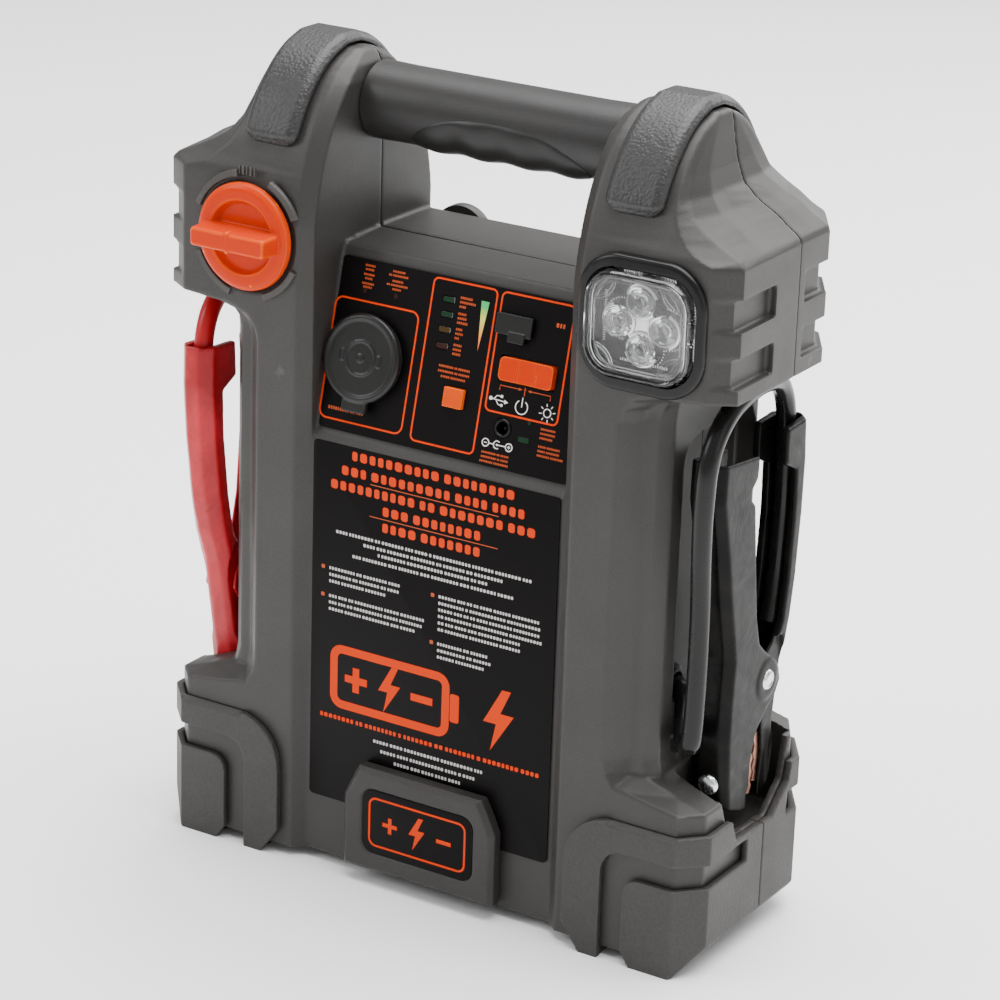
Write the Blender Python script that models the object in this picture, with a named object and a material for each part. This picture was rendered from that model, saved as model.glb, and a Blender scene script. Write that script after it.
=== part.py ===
"""Portable 12 V jump starter pack with a built-in tyre compressor.

Two hollow columns joined by a carry handle stand either side of a recessed
centre body. All sizes are in millimetres in the tables below and are scaled
to metres when a mesh is made. +Z is up, +X is the lamp side, -Y is the front.
"""
import bpy
import bmesh
import math
from mathutils import Vector, Matrix

# ---------------------------------------------------------------- dimensions
MM = 0.001
GAP = 0.3               # clearance between touching pieces
Y_SHIFT = 5.5           # moves the design so that its box is centred on Y = 0
WALL = 3.0              # moulded wall thickness
Z_BOTTOM = 4.0          # underside of the housing, the feet reach 0
COL_IN = 59.0           # inner wall of each column
COL_EDGE = 64.3         # where the inner chamfer meets the front face
FRONT = 46.0            # half depth of the columns
BODY_FRONT = 41.5       # front of the recessed centre body
BODY_REAR = 43.0
BODY_TOP = 262.0
SEAM_Y = 5.0            # parting plane of the two shells
SEAM = 0.15             # half of the parting gap
ARCH_Z = 255.0          # centre of the arch ellipse
ARCH_B = 80.0           # its height
ARCH_A = 47.0           # its half depth
SHOULDER_Z = (236.0, 288.3)
SHOULDER_X = 129.6
BAY_X = 101.0           # side wall in the clamp bay
BAY_FLOOR = 92.0        # floor of the clamp bay recess
POCKET_X = (104.0, 122.3)
POCKET_Y = (-25.0, 35.0)
POCKET_Z = 44.0
PAD_X = (69.5, 94.3)
PAD_T = 5.0
HANDLE_YZ = (3.0, 314.5)
HANDLE_R = 16.0
KNOB_XZ = (-88.2, 263.9)
KNOB_R = 21.9
LAMP_XZ = (91.9, 261.6)
LAMP_W, LAMP_H = 45.4, 41.2
# slanted control panel: foot point and the direction up the panel
PANEL_FOOT = (-38.5, 188.0)
PANEL_HEAD = (-21.5, 258.0)
PIVOT_YZ = (14.0, 106.7)     # clamp hinge pin
CLAMP_X = (106.0, 121.7)     # sides of a stowed clamp
CLAMP_LEAN = math.radians(2.4)
CABLE_R = 4.0
GAUGE_XZ = (-45.5, 251.0)

for old in list(bpy.data.objects):
    bpy.data.objects.remove(old, do_unlink=True)

# ----------------------------------------------------------------- materials
_mats = {}


def material(name, color, rough=0.5, metal=0.0, alpha=1.0):
    if name not in _mats:
        m = bpy.data.materials.new(name)
        m.use_nodes = True
        b = m.node_tree.nodes["Principled BSDF"]
        b.inputs["Base Color"].default_value = (*color, 1.0)
        b.inputs["Roughness"].default_value = rough
        b.inputs["Metallic"].default_value = metal
        b.inputs["Alpha"].default_value = alpha
        m.diffuse_color = (*color, alpha)
        _mats[name] = m
    return _mats[name]


HOUSING = material("housing", (0.068, 0.064, 0.060), 0.55)
BUMPER = material("bumper", (0.060, 0.056, 0.052), 0.75)
PAD = material("pad", (0.030, 0.030, 0.032), 0.6)
HANDLE_M = material("handle", (0.028, 0.028, 0.029), 0.5)
LABEL = material("label", (0.012, 0.011, 0.011), 0.45)
ORANGE = material("orange", (0.90, 0.13, 0.015), 0.3)
BLACK = material("black_trim", (0.02, 0.02, 0.02), 0.45)
CLEAR = material("clear", (0.85, 0.87, 0.88), 0.05, 0.0, 0.35)
SILVER = material("reflector", (0.75, 0.75, 0.76), 0.2, 0.9)
STEEL = material("steel", (0.62, 0.62, 0.62), 0.3, 1.0)
COPPER = material("copper", (0.65, 0.33, 0.20), 0.35, 1.0)
BRASS = material("brass", (0.75, 0.55, 0.25), 0.3, 1.0)
RED = material("red_vinyl", (0.55, 0.02, 0.04), 0.35)
VINYL = material("black_vinyl", (0.015, 0.015, 0.015), 0.3)
BOARD = material("board", (0.02, 0.12, 0.05), 0.5)
BATTERY_M = material("battery_case", (0.03, 0.03, 0.035), 0.5)
WHITE = material("white_plastic", (0.8, 0.8, 0.78), 0.4)

# ------------------------------------------------------------- mesh helpers


def new_object(name, verts, faces, mat=None):
    me = bpy.data.meshes.new(name)
    me.from_pydata([(x * MM, y * MM, z * MM) for x, y, z in verts], [], faces)
    bm = bmesh.new()
    bm.from_mesh(me)
    bmesh.ops.remove_doubles(bm, verts=bm.verts, dist=1e-7)
    bmesh.ops.dissolve_degenerate(bm, dist=1e-7, edges=bm.edges)
    bmesh.ops.recalc_face_normals(bm, faces=bm.faces)
    bm.to_mesh(me)
    bm.free()
    ob = bpy.data.objects.new(name, me)
    bpy.context.scene.collection.objects.link(ob)
    if mat:
        me.materials.append(mat)
    return ob


def loft(name, rings, mat=None):
    """Closed solid through rings of equal point count."""
    n = len(rings[0])
    verts = [p for r in rings for p in r]
    faces = []
    for i in range(len(rings) - 1):
        for j in range(n):
            k = (j + 1) % n
            faces.append((i * n + j, i * n + k, (i + 1) * n + k, (i + 1) * n + j))
    faces.append(tuple(range(n)))
    faces.append(tuple((len(rings) - 1) * n + j for j in reversed(range(n))))
    return new_object(name, verts, faces, mat)


def prism(name, outline, axis, a, b, mat=None, sx=1):
    """Outline extruded along an axis; sx = -1 mirrors it to the other side."""
    def place(u, v, w):
        if axis == "x":
            p = (w, u, v)
        elif axis == "y":
            p = (u, w, v)
        else:
            p = (u, v, w)
        return (p[0] * sx, p[1], p[2])
    return loft(name, [[place(u, v, w) for u, v in outline] for w in (a, b)], mat)


def box(name, lo, hi, mat=None, sx=1):
    return prism(name, [(lo[0], lo[1]), (hi[0], lo[1]), (hi[0], hi[1]), (lo[0], hi[1])],
                 "z", lo[2], hi[2], mat, sx)


def revolve(name, prof, centre, axis, seg, mat=None):
    """Turned solid. prof is (radius, height) pairs; a zero radius closes it."""
    ax = Vector(axis).normalized()
    ref = Vector((0, 0, 1)) if abs(ax.z) < 0.9 else Vector((1, 0, 0))
    e1 = ax.cross(ref).normalized()
    e2 = ax.cross(e1)
    c = Vector(centre)
    verts, idx = [], []
    for r, h in prof:
        if r < 1e-6:
            idx.append([len(verts)] * seg)
            verts.append(tuple(c + ax * h))
        else:
            row = []
            for i in range(seg):
                t = 2 * math.pi * i / seg
                row.append(len(verts))
                verts.append(tuple(c + ax * h + e1 * (r * math.cos(t)) + e2 * (r * math.sin(t))))
            idx.append(row)
    open_ends = prof[0][0] < 1e-6 and prof[-1][0] < 1e-6
    pairs = list(zip(idx[:-1], idx[1:]))
    if not open_ends:
        pairs.append((idx[-1], idx[0]))
    faces = []
    for p, q in pairs:
        for i in range(seg):
            k = (i + 1) % seg
            f = []
            for v in (p[i], p[k], q[k], q[i]):
                if v not in f:
                    f.append(v)
            if len(f) > 2:
                faces.append(tuple(f))
    return new_object(name, verts, faces, mat)


def boolean(ob, other, op):
    m = ob.modifiers.new("b", "BOOLEAN")
    m.operation = op
    m.object = other
    m.solver = "EXACT"
    bpy.context.view_layer.update()
    dg = bpy.context.evaluated_depsgraph_get()
    me = bpy.data.meshes.new_from_object(ob.evaluated_get(dg))
    ob.modifiers.clear()
    ob.data = me
    bpy.data.objects.remove(other, do_unlink=True)
    bm = bmesh.new()
    bm.from_mesh(me)
    bmesh.ops.remove_doubles(bm, verts=bm.verts, dist=2e-6)
    bmesh.ops.dissolve_degenerate(bm, dist=2e-6, edges=bm.edges)
    bm.to_mesh(me)
    bm.free()
    return ob


def cut(ob, *others):
    for o in others:
        boolean(ob, o, "DIFFERENCE")
    return ob


def join(ob, *others):
    for o in others:
        boolean(ob, o, "UNION")
    return ob


def keep(ob, other):
    return boolean(ob, other, "INTERSECT")


def round_rect(cx, cy, w, h, r, n=4):
    pts = []
    for sx_, sy_, a0 in ((1, 1, 0), (-1, 1, 90), (-1, -1, 180), (1, -1, 270)):
        for i in range(n + 1):
            t = math.radians(a0 + 90 * i / n)
            pts.append((cx + sx_ * (w / 2 - r) + r * math.cos(t),
                        cy + sy_ * (h / 2 - r) + r * math.sin(t)))
    return pts


def circle(cx, cy, r, n=24):
    return [(cx + r * math.cos(2 * math.pi * i / n), cy + r * math.sin(2 * math.pi * i / n))
            for i in range(n)]


# ------------------------------------------------------ slanted panel frame
_pv = Vector((0, PANEL_HEAD[0] - PANEL_FOOT[0], PANEL_HEAD[1] - PANEL_FOOT[1])).normalized()
_pn = Vector((0, -_pv.z, _pv.y))


def on_panel(u, v, n):
    p = Vector((u, PANEL_FOOT[0], PANEL_FOOT[1])) + _pv * v + _pn * n
    return tuple(p)


def panel_prism(name, outline, n0, n1, mat=None):
    return loft(name, [[on_panel(u, v, n) for u, v in outline] for n in (n0, n1)], mat)


def panel_revolve(name, prof, u, v, seg, mat=None):
    return revolve(name, prof, on_panel(u, v, 0), _pn, seg, mat)


# ------------------------------------------------------------ housing shells
def arch(z):
    if z <= 271:
        return FRONT
    t = (z - ARCH_Z) / ARCH_B
    return ARCH_A * math.sqrt(max(0.0, 1 - t * t))


def section(z, front, rear, af=None, ar=None, inner=COL_IN):
    """Plan outline of one column at height z, 14 points."""
    f2, f3, f4, f5 = front
    r5, r4, r3, r2 = rear
    a = arch(z)
    af = a if af is None else af
    ar = a if ar is None else ar
    return [(inner, -(af - 4.6)), (COL_EDGE + max(0, inner - COL_IN) * 0.2, -af), f2, f3, f4, f5,
            (f5[0], f5[1] * 0.6), (r5[0], r5[1] * 0.6),
            r5, r4, r3, r2, (COL_EDGE + max(0, inner - COL_IN) * 0.2, ar), (inner, ar - 4.6)]


BASE_F = ((92, -46), (117.3, -46), (125.5, -37.5), (125.5, -19.5))
BASE_R = ((125.5, 31), (117.3, 45), (112, 46), (92, 46))
BAY_F = ((83, -46), (90.4, -38.5), (96, -38), (BAY_X, -33))
BAY_R = ((BAY_X, 33), (98, 38), (92, 44), (86, 46))
SH_F = ((100, -46), (119.3, -46), (SHOULDER_X, -39.2), (SHOULDER_X, -24))
SH_R = ((SHOULDER_X, 28), (119.3, 45), (114, 46), (100, 46))


def mirror_front(front):
    return tuple((x, -y) for x, y in reversed(front))


ARCH_ROWS = [
    (308, ((94.5, -35.6), (98.2, -35), (101, -31.5), (104, -20))),
    (316, ((94.3, -30.6), (97.4, -29.5), (99.3, -26), (101, -17))),
    (324, ((94.0, -23.8), (97.0, -22.5), (98.5, -19), (99.5, -12))),
    (330, ((94.0, -16.4), (96.8, -15), (98.0, -12), (98.6, -8))),
]
COLUMN = [
    (4, section(4, ((92, -46), (112, -46), (117, -38), (117, -24)),
                ((117, 24), (111, 34), (106, 38), (92, 40)), 46, 40)),
    (14, section(14, BASE_F, ((123, 28), (116, 39), (110, 42), (92, 43)), 46, 43)),
    (25, section(25, BASE_F, BASE_R)),
    (68.3, section(68.3, BASE_F, BASE_R)),
    (72.6, section(72.6, ((88, -46), (91.2, -46), (112, -38), (113.5, -25)), BASE_R)),
    (77.5, section(77.5, ((84.5, -46), (92, -39), (98, -38), (102, -33)), BASE_R)),
    (84, section(84, BAY_F, BAY_R)),
    (222, section(222, BAY_F, BAY_R)),
    (226.5, section(226.5, ((84.3, -46), (91.5, -38.8), (97, -38), (101.5, -33)), BAY_R)),
    (231.5, section(231.5, ((88, -46), (97, -40), (101, -38.5), (102.5, -33)), BAY_R)),
    (234.3, section(234.3, ((95, -46), (106, -43), (107, -39), (104, -33)), BAY_R)),
    (236, section(236, SH_F, SH_R)),
    (271, section(271, SH_F, SH_R)),
    (280, section(280, ((100, -45.9), (119.3, -46), (SHOULDER_X, -39.2), (SHOULDER_X, -24)),
                  ((SHOULDER_X, 28), (119.3, 45), (114, 46), (100, 45.9)))),
    (288.3, section(288.3, ((100, -45.2), (119.3, -46), (SHOULDER_X, -39.2), (SHOULDER_X, -24)),
                    ((SHOULDER_X, 28), (119.3, 45), (114, 46), (100, 45.2)))),
    (290.5, section(290.5, ((98, -44.3), (112, -45.3), (127.5, -38.5), (128.3, -24)),
                    ((128.8, 27.5), (118.5, 44.5), (112, 45.5), (98, 45)))),
    (294, section(294, ((96.5, -42.3), (106, -43), (119, -37.5), (123, -24)),
                  ((124, 26), (114, 42), (108, 43), (96.5, 42.5)))),
    (298, section(298, ((95.5, -40.5), (102, -41), (111, -36.5), (117, -23)),
                  ((119, 25), (110, 40), (104, 41), (96, 40.6)))),
    (302, section(302, ((95, -38.8), (99.8, -38.8), (105, -35), (109, -22)),
                  ((112, 23), (106, 36.5), (102, 38.5), (95, 38.8)))),
] + [(z, section(z, f, mirror_front(f), inner=COL_IN + max(0, z - 326) * 0.3)) for z, f in ARCH_ROWS] + [
    (334, section(334, ((93.8, -7.4), (96.3, -6.6), (97.3, -5.4), (97.6, -3.5)),
                  ((97.6, 3.5), (97.3, 5.4), (96.3, 6.6), (93.8, 7.4)), inner=62.6)),
    (335, section(335, ((93.6, -4.8), (95.8, -4.6), (96.8, -3.9), (97.0, -2.5)),
                  ((97.0, 2.5), (96.8, 3.9), (95.8, 4.6), (93.6, 4.8)), 5.0, 5.0, inner=64.2)),
]


def column(sx):
    rings = [[(x * sx, y, z) for x, y in pts] for z, pts in COLUMN]
    return loft("column", rings)


def arch_profile(offset, zs):
    """Points (y, z) on the front half of the arch, moved out along its normal."""
    pts = []
    for z in zs:
        a = arch(z) if z < 334.9 else 5.0
        ny = a / (ARCH_A ** 2)
        nz = (z - ARCH_Z) / (ARCH_B ** 2)
        ln = math.hypot(ny, nz)
        pts.append((-(a + offset * ny / ln), z + offset * nz / ln))
    return pts


CENTRE_YZ = [(-BODY_FRONT, Z_BOTTOM), (-BODY_FRONT, 184.5), PANEL_FOOT, PANEL_HEAD, (-20.5, 260.6),
             (5, BODY_TOP), (40, BODY_TOP), (BODY_REAR, 259), (BODY_REAR, Z_BOTTOM)]
CORE_YZ = [(-38.5, 7.5), (-38.5, 182.5), (-35.5, 187.6), (-18.6, 256.4), (5, 259), (38, 259),
           (BODY_REAR - 3, 257), (BODY_REAR - 3, 7.5)]

body = loft("body", [[(x, y, z) for y, z in CENTRE_YZ] for x in (-61.5, 61.5)], HOUSING)
join(body, column(1), column(-1))

NOTCH_YZ = [(-25, 100), (-25, 69.3), (-17.5, 51), (12, 49.5), (25, 60.5), (29, 78.5), (29, 100)]
RECESS_YZ = [(-24.5, 86), (-22, 82), (28, 82), (32, 86), (32, 205), (28, 213), (-12.5, 213),
             (-18.5, 211.4), (-22.9, 207), (-24.5, 201)]
for s in (1, -1):
    cut(body,
        box("pocket", (POCKET_X[0], POCKET_Y[0], POCKET_Z), (POCKET_X[1], POCKET_Y[1], 96), sx=s),
        prism("recess", RECESS_YZ, "x", BAY_FLOOR, 140, sx=s),
        prism("notch", NOTCH_YZ, "x", 118, 140, sx=s))
    for z0, z1 in ((264, 276.3), (242, 254)):
        cut(body,
            prism("groove", [(118.6, -46.6), (126.4, -40), (126.4, -13), (134, -13), (134, -46.6)],
                  "z", z0, z1, sx=s),
            prism("groove", [(126.4, 10), (134, 10), (134, 50), (117, 50), (116, 45.2), (126.4, 27)],
                  "z", z0, z1, sx=s))

CORE_PLAN = [(65.6, -42.7), (81.6, -42.7), (88.5, -35.7), (89, -34.8), (89, 38.5), (88, 40.2), (84.5, 42.6), (66, 42.6)]


def side_cores(s):
    """The hollow spaces inside one column, its arch, shoulder and base."""
    prof = arch_profile(-3.8, (284, 296, 306, 316, 324, 330.5))
    arch_core = [(-42.3, 246)] + prof + [(-y, z) for y, z in reversed(prof)] + [(42.3, 246)]
    low = [(50, -38.2), (60.8, -38.2)] + CORE_PLAN[:4] + [(89, 37.5), (50, 37.5)]
    return [prism("core", low, "z", 7.5, 22.5, sx=s),
            prism("core", [(50, -38.2), (60.8, -38.2)] + CORE_PLAN + [(62.5, 40), (50, 40)], "z", 22, 182.2, sx=s),
            prism("core", [(62.3, -39.8)] + CORE_PLAN + [(62.3, 40)], "z", 182, 255.5, sx=s),
            box("core", (55, -12, 176), (70, 38.5, 245), sx=s),
            prism("core", arch_core, "x", 62.3, 93.0, sx=s),
            prism("core", [(80, -42.1), (114.5, -42.1), (123, -35), (123, 25), (114, 41.5), (80, 42.1)],
                  "z", 239.2, 285, sx=s),
            box("core", (80, -42.1, 14), (112, 36, 40.5), sx=s)]


# hollow inside
cut(body, loft("core", [[(x, y, z) for y, z in CORE_YZ] for x in (-60, 60)]))
for s in (1, -1):
    cut(body, *side_cores(s))

# handle spigots, cable outlets
for s in (1, -1):
    cut(body, revolve("hole", [(0, -3), (9.4, -3), (9.4, 8), (0, 8)],
                      (s * 57, HANDLE_YZ[0], HANDLE_YZ[1]), (s, 0, 0), 20))
    cut(body, revolve("hole", [(0, -8), (7.1, -8), (7.1, 8), (0, 8)],
                      (s * 91, -11.2 * s, 106.3), (s, 0, 0), 16))
# knob shaft and lamp
cut(body, revolve("hole", [(0, -10), (6.5, -10), (6.5, 10), (0, 10)],
                  (KNOB_XZ[0], -46, KNOB_XZ[1]), (0, -1, 0), 16))
cut(body, prism("hole", round_rect(LAMP_XZ[0], LAMP_XZ[1], LAMP_W + 1.2, LAMP_H + 1.2, 12),
                "y", -60, -40))

# everything that passes through the control panel: (outline, label margin)
CAP_UV = (-40.4, 31.7)
BARS_V = (61.5, 55.6, 49.6, 43.2)
BTN_UV = (2.7, 24.3)
USB_UV = (25.0, 56.6)
ROCK_UV = (33.4, 40.0)
JACK_UV = (26.1, 17.0)
CUTS = [circle(CAP_UV[0], CAP_UV[1], 13.2, 24),
        round_rect(BTN_UV[0], BTN_UV[1], 9.4, 8.4, 0.6, 1),
        round_rect(USB_UV[0], USB_UV[1], 14.6, 7.0, 0.6, 1),
        round_rect(ROCK_UV[0], ROCK_UV[1], 25.4, 10.4, 0.5, 1),
        circle(JACK_UV[0], JACK_UV[1], 4.1, 14)]
CUTS += [round_rect(-6.5, v, 5.8, 2.8, 0.4, 1) for v in BARS_V]
for c in CUTS:
    cut(body, panel_prism("hole", c, -12, 6))
# rear openings: gauge stem and compressor switch
SWITCH_XZ = (0.0, 225.0)
cut(body, revolve("hole", [(0, -12), (7.9, -12), (7.9, 12), (0, 12)],
                  (GAUGE_XZ[0], 43, GAUGE_XZ[1]), (0, 1, 0), 16))
cut(body, prism("hole", round_rect(SWITCH_XZ[0], SWITCH_XZ[1], 20.6, 13.4, 1.0, 1), "y", 30, 60))
cut(body, revolve("hole", [(0, -12), (5.4, -12), (5.4, 12), (0, 12)],
                  (40, 43, 205), (0, 1, 0), 14))

rear_shell = bpy.data.objects.new("rear_shell", body.data.copy())
bpy.context.scene.collection.objects.link(rear_shell)
front_shell = body
front_shell.name = "front_shell"
keep(front_shell, box("half", (-150, -80, -10), (150, SEAM_Y - SEAM, 360)))
keep(rear_shell, box("half", (-150, SEAM_Y + SEAM, -10), (150, 80, 360)))

# ------------------------------------------------------------ handle and pads
handle = revolve("handle_bar",
                 [(0, -67), (9.0, -67), (9.0, -58.7), (15.2, -58.7), (HANDLE_R, -57.6),
                  (HANDLE_R, 57.6), (15.2, 58.7), (9.0, 58.7), (9.0, 67), (0, 67)],
                 (0, HANDLE_YZ[0], HANDLE_YZ[1]), (1, 0, 0), 28, HANDLE_M)
grip = revolve("handle_grip", [(HANDLE_R + GAP, -45), (HANDLE_R + GAP, 45), (17.6, 45), (17.6, -45)],
               (0, HANDLE_YZ[0], HANDLE_YZ[1]), (1, 0, 0), 28, HANDLE_M)
lens = []
for i in range(13):
    u = -1 + 2 * i / 12
    lens.append((3.5 + 41 * u, 297.0 + 15.5 * (1 - u * u)))
keep(grip, prism("lens", lens + [(44.5, 290), (-37.5, 290)], "y", -20, 30))
grip.data.materials.clear()
grip.data.materials.append(HANDLE_M)

PAD_ZS = (301, 306, 311, 316, 320, 324, 327.5, 330.5, 332.8, 334.2)
for nm, s in (("left_arch_pad", -1), ("right_arch_pad", 1)):
    inn = arch_profile(0.9, PAD_ZS) + [(-4.0, 335.9)]
    out = arch_profile(PAD_T, PAD_ZS) + [(-5.0, 340.0)]
    outline = inn + [(-y, z) for y, z in reversed(inn)] + [(y * -1, z) for y, z in out] + \
        [(y, z) for y, z in reversed(out)]
    prism(nm, outline, "x", PAD_X[0], PAD_X[1], PAD, sx=s)

# ---------------------------------------------------------------- base bumpers


def bumper(name, s, rear):
    y = -1 if rear else 1
    lift = 8.0 if rear else 0.0
    end = (SEAM_Y + SEAM + 0.2) if rear else (SEAM_Y - SEAM - 0.2)
    if rear:
        plan = [(69, 49.3), (118.3, 49.3), (128.8, 33.5), (128.8, end), (125.8, end),
                (125.8, 31.4), (117.6, 45.4), (112.2, 46.3), (69, 46.3)]
    else:
        plan = [(69, -49.3), (118.3, -49.3), (128.8, -38.5), (128.8, end), (125.8, end),
                (125.8, -37.4), (117.4, -46.3), (69, -46.3)]
    top = 60.3 + lift
    ob = prism(name, plan, "z", 0, top, BUMPER, sx=s)
    yy = (30, 60) if rear else (-60, -34.9)
    zb, zk = 47.7 + lift, 38.0 + lift
    cut(ob,
        prism("c", [(86, -1), (86, zb - 10), (88, zb - 3.7), (94, zb), (140, zb), (140, zk), (103, zk),
                    (98, zk - 2), (96, zk - 7), (96, -1)], "y", yy[0], yy[1], sx=s),
        prism("c", [(60, 90), (60, -5), (69.01, -5), (69.01, zb - 9.5), (70.4, zb - 0.9), (74.4, zb + 5.7),
                    (81.5, zb + 10.7), (90, top + 0.1), (90, 90)], "y", yy[0], yy[1], sx=s),
        prism("c", [(60, -1), (78, -1), (69, 11.6), (60, 11.6)], "y", yy[0], yy[1], sx=s),
        prism("c", [(96 - 2, -1), (101, -1), (95.9, 6.5), (94, 6.5)], "y", yy[0], yy[1], sx=s),
        prism("c", [(118, -1), (135, -1), (135, 14), (128.9, 13)], "y", -60, 60, sx=s),
        prism("c", NOTCH_YZ, "x", 118, 140, sx=s))
    if rear:
        cut(ob, prism("c", [(24, zk), (31, zk), (31, zb), (24, zb)], "x", 118, 140, sx=s),
            prism("c", [(20, -1), (60, -1), (60, 30), (50, 17)], "x", 100, 140, sx=s))
    else:
        cut(ob, prism("c", [(-35.2, zk), (-8, zk), (-8, zb), (-35.2, zb)], "x", 118, 140, sx=s))
    # feet turned in under the housing
    f0, f1 = (36.2, 46.6) if rear else (-46.6, -34)
    g0, g1 = (36.2, 46.6) if rear else (-46.6, -36)
    if not rear:
        join(ob, box("foot", (101, f0, 0), (112.5, f1, 3.7), sx=s))
        join(ob, box("foot", (78.2, g0, 0), (85.8, g1, 3.7), sx=s))
    else:
        join(ob, box("foot", (78.2, g0, 0), (85.8, g1, 3.7), sx=s))
    return ob


bumper("front_left_bumper", -1, False)
bumper("front_right_bumper", 1, False)
bumper("rear_left_bumper", -1, True)
bumper("rear_right_bumper", 1, True)

# ------------------------------------------------------------ badge and labels
BADGE = [(-36.3, 6.5), (36.3, 6.5), (36.3, 38), (31, 49), (29.4, 51.8), (-29.4, 51.8), (-31, 49), (-36.3, 38)]
badge = loft("badge_plate", [[(x, -BODY_FRONT - GAP - 0.8, z) for x, z in BADGE],
                             [(x, -48.0, z) for x, z in BADGE],
                             [(x * 0.95, -49.2, 29 + (z - 29) * 0.94) for x, z in BADGE]], BUMPER)
cut(badge, prism("c", round_rect(0, 29.0, 54, 29, 6, 3), "y", -60, -47.6))

LABEL_XZ = round_rect(0, 107.5, 115, 155, 2.0, 2)
front_label = prism("front_label", LABEL_XZ, "y", -BODY_FRONT - GAP - 0.5, -BODY_FRONT - GAP, LABEL)

PANEL_LABEL = [(-57.6, 1.2), (57.6, 1.2), (57.6, 70.3), (-57.6, 70.3)]
control_label = panel_prism("control_label", PANEL_LABEL, GAP, GAP + 0.5, LABEL)
for c in CUTS:
    cut(control_label, panel_prism("hole", c, -3, 3))

# -------------------------------------------------------------- power knob
kx, kz = KNOB_XZ
knob = revolve("power_knob", [(0, -8), (5.0, -8), (5.0, 0.35), (KNOB_R, 0.35), (KNOB_R, 2.6), (KNOB_R - 1.4, 4.2),
                              (15.5, 4.4), (13.8, 3.4), (0, 3.4)], (kx, -46, kz), (0, -1, 0), 40, ORANGE)
BAR = [(kx - 18.2, kz - 3.4), (kx - 17.4, kz - 4.2), (kx + 17.4, kz - 4.2), (kx + 18.2, kz - 3.4),
       (kx + 18.2, kz + 3.4), (kx + 17.4, kz + 4.2), (kx - 17.4, kz + 4.2), (kx - 18.2, kz + 3.4)]
bar = loft("bar", [[(x, -48.4, z) for x, z in BAR], [(x, -58.6, z) for x, z in BAR],
                   [(kx + (x - kx) * 0.965, -60.3, kz + (z - kz) * 0.8) for x, z in BAR]])
join(knob, bar)
knob.data.materials.clear()
knob.data.materials.append(ORANGE)
rot_sw = prism("rotary_switch", round_rect(kx, kz, 26, 26, 4, 2), "y", -40.2, -22, BLACK)
cut(rot_sw, revolve("hole", [(0, -1), (5.5, -1), (5.5, 4), (0, 4)], (kx, -38, kz), (0, -1, 0), 16))
join(rot_sw, prism("tab", [(kx - 3, kz - 12), (kx + 3, kz - 12), (kx + 3, kz + 12), (kx - 3, kz + 12)], "y", -22.5, -14))

# ------------------------------------------------------------------- lamp
lx, lz = LAMP_XZ
lamp_bezel = loft("lamp_bezel", [[(x, -46.3, z) for x, z in round_rect(lx, lz, 54.4, 52.6, 17, 5)],
                                 [(x, -47.6, z) for x, z in round_rect(lx, lz, 54.4, 52.6, 17, 5)],
                                 [(x, -48.8, z) for x, z in round_rect(lx, lz, 52.0, 50.2, 16, 5)]], BLACK)
cut(lamp_bezel, prism("c", round_rect(lx, lz, LAMP_W + 0.8, LAMP_H + 0.8, 12.4, 5), "y", -60, -40))
lamp_lens = loft("lamp_lens", [[(x, -40.5, z) for x, z in round_rect(lx, lz, LAMP_W, LAMP_H, 12, 5)],
                               [(x, -50.6, z) for x, z in round_rect(lx, lz, LAMP_W, LAMP_H, 12, 5)],
                               [(x, -52.2, z) for x, z in round_rect(lx, lz, LAMP_W - 3.5, LAMP_H - 3.5, 10.5, 5)]], CLEAR)
cut(lamp_lens, prism("c", round_rect(lx, lz, LAMP_W - 3.4, LAMP_H - 3.4, 10.4, 5), "y", -50.3, -30))
refl = prism("lamp_reflector", round_rect(lx, lz, LAMP_W - 4.1, LAMP_H - 4.1, 10.0, 4), "y", -46.5, -40.5, SILVER)
CUPS = [(lx, lz + 9.5), (lx + 10.2, lz), (lx, lz - 9.5), (lx - 10.2, lz)]
for cx, cz in CUPS:
    cut(refl, revolve("cup", [(0, -1), (3.3, -1), (3.3, 1.4), (6.4, 7.5), (0, 7.5)], (cx, -40.5, cz), (0, -1, 0), 18))
led_board = prism("lamp_led_board", round_rect(lx, lz, LAMP_W - 5, LAMP_H - 5, 9, 2), "y", -40.1, -38.4, WHITE)
for cx, cz in CUPS:
    join(led_board, revolve("led", [(0, -0.5), (2.6, -0.5), (2.6, 1.2), (1.9, 2.8), (0, 3.5)],
                            (cx, -40.1, cz), (0, -1, 0), 12))

# -------------------------------------------------------- control panel parts
cu, cv = CAP_UV
barrel = panel_revolve("socket_barrel", [(11.0, 2.3), (16.8, 2.3), (17.2, 1.9), (17.2, 1.1), (12.8, 1.1), (12.8, -34),
                                         (3.0, -34), (3.0, -32), (11.0, -32)], cu, cv, 28, BLACK)
contact = panel_revolve("socket_contact", [(0, -37.5), (2.6, -37.5), (2.6, -32.0), (5.2, -31.5), (5.2, -29.5), (2.0, -27.5), (0, -27.5)],
                        cu, cv, 14, BRASS)
cap = panel_revolve("socket_cap", [(0, 2.7), (9.4, 2.7), (9.2, -0.6), (10.0, -0.6), (10.2, 2.7), (17.4, 2.7), (18.0, 3.2), (18.0, 4.4),
                                   (17.0, 5.4), (15.6, 5.4), (15.2, 4.8), (0, 4.8)], cu, cv, 32, BLACK)
join(cap, panel_prism("tab", [(cu - 5.9, 9.9), (cu + 5.9, 9.9), (cu + 5.9, 16.2), (cu - 5.9, 16.2)], 2.7, 4.6))
cap.data.materials.clear()
cap.data.materials.append(BLACK)

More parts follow.
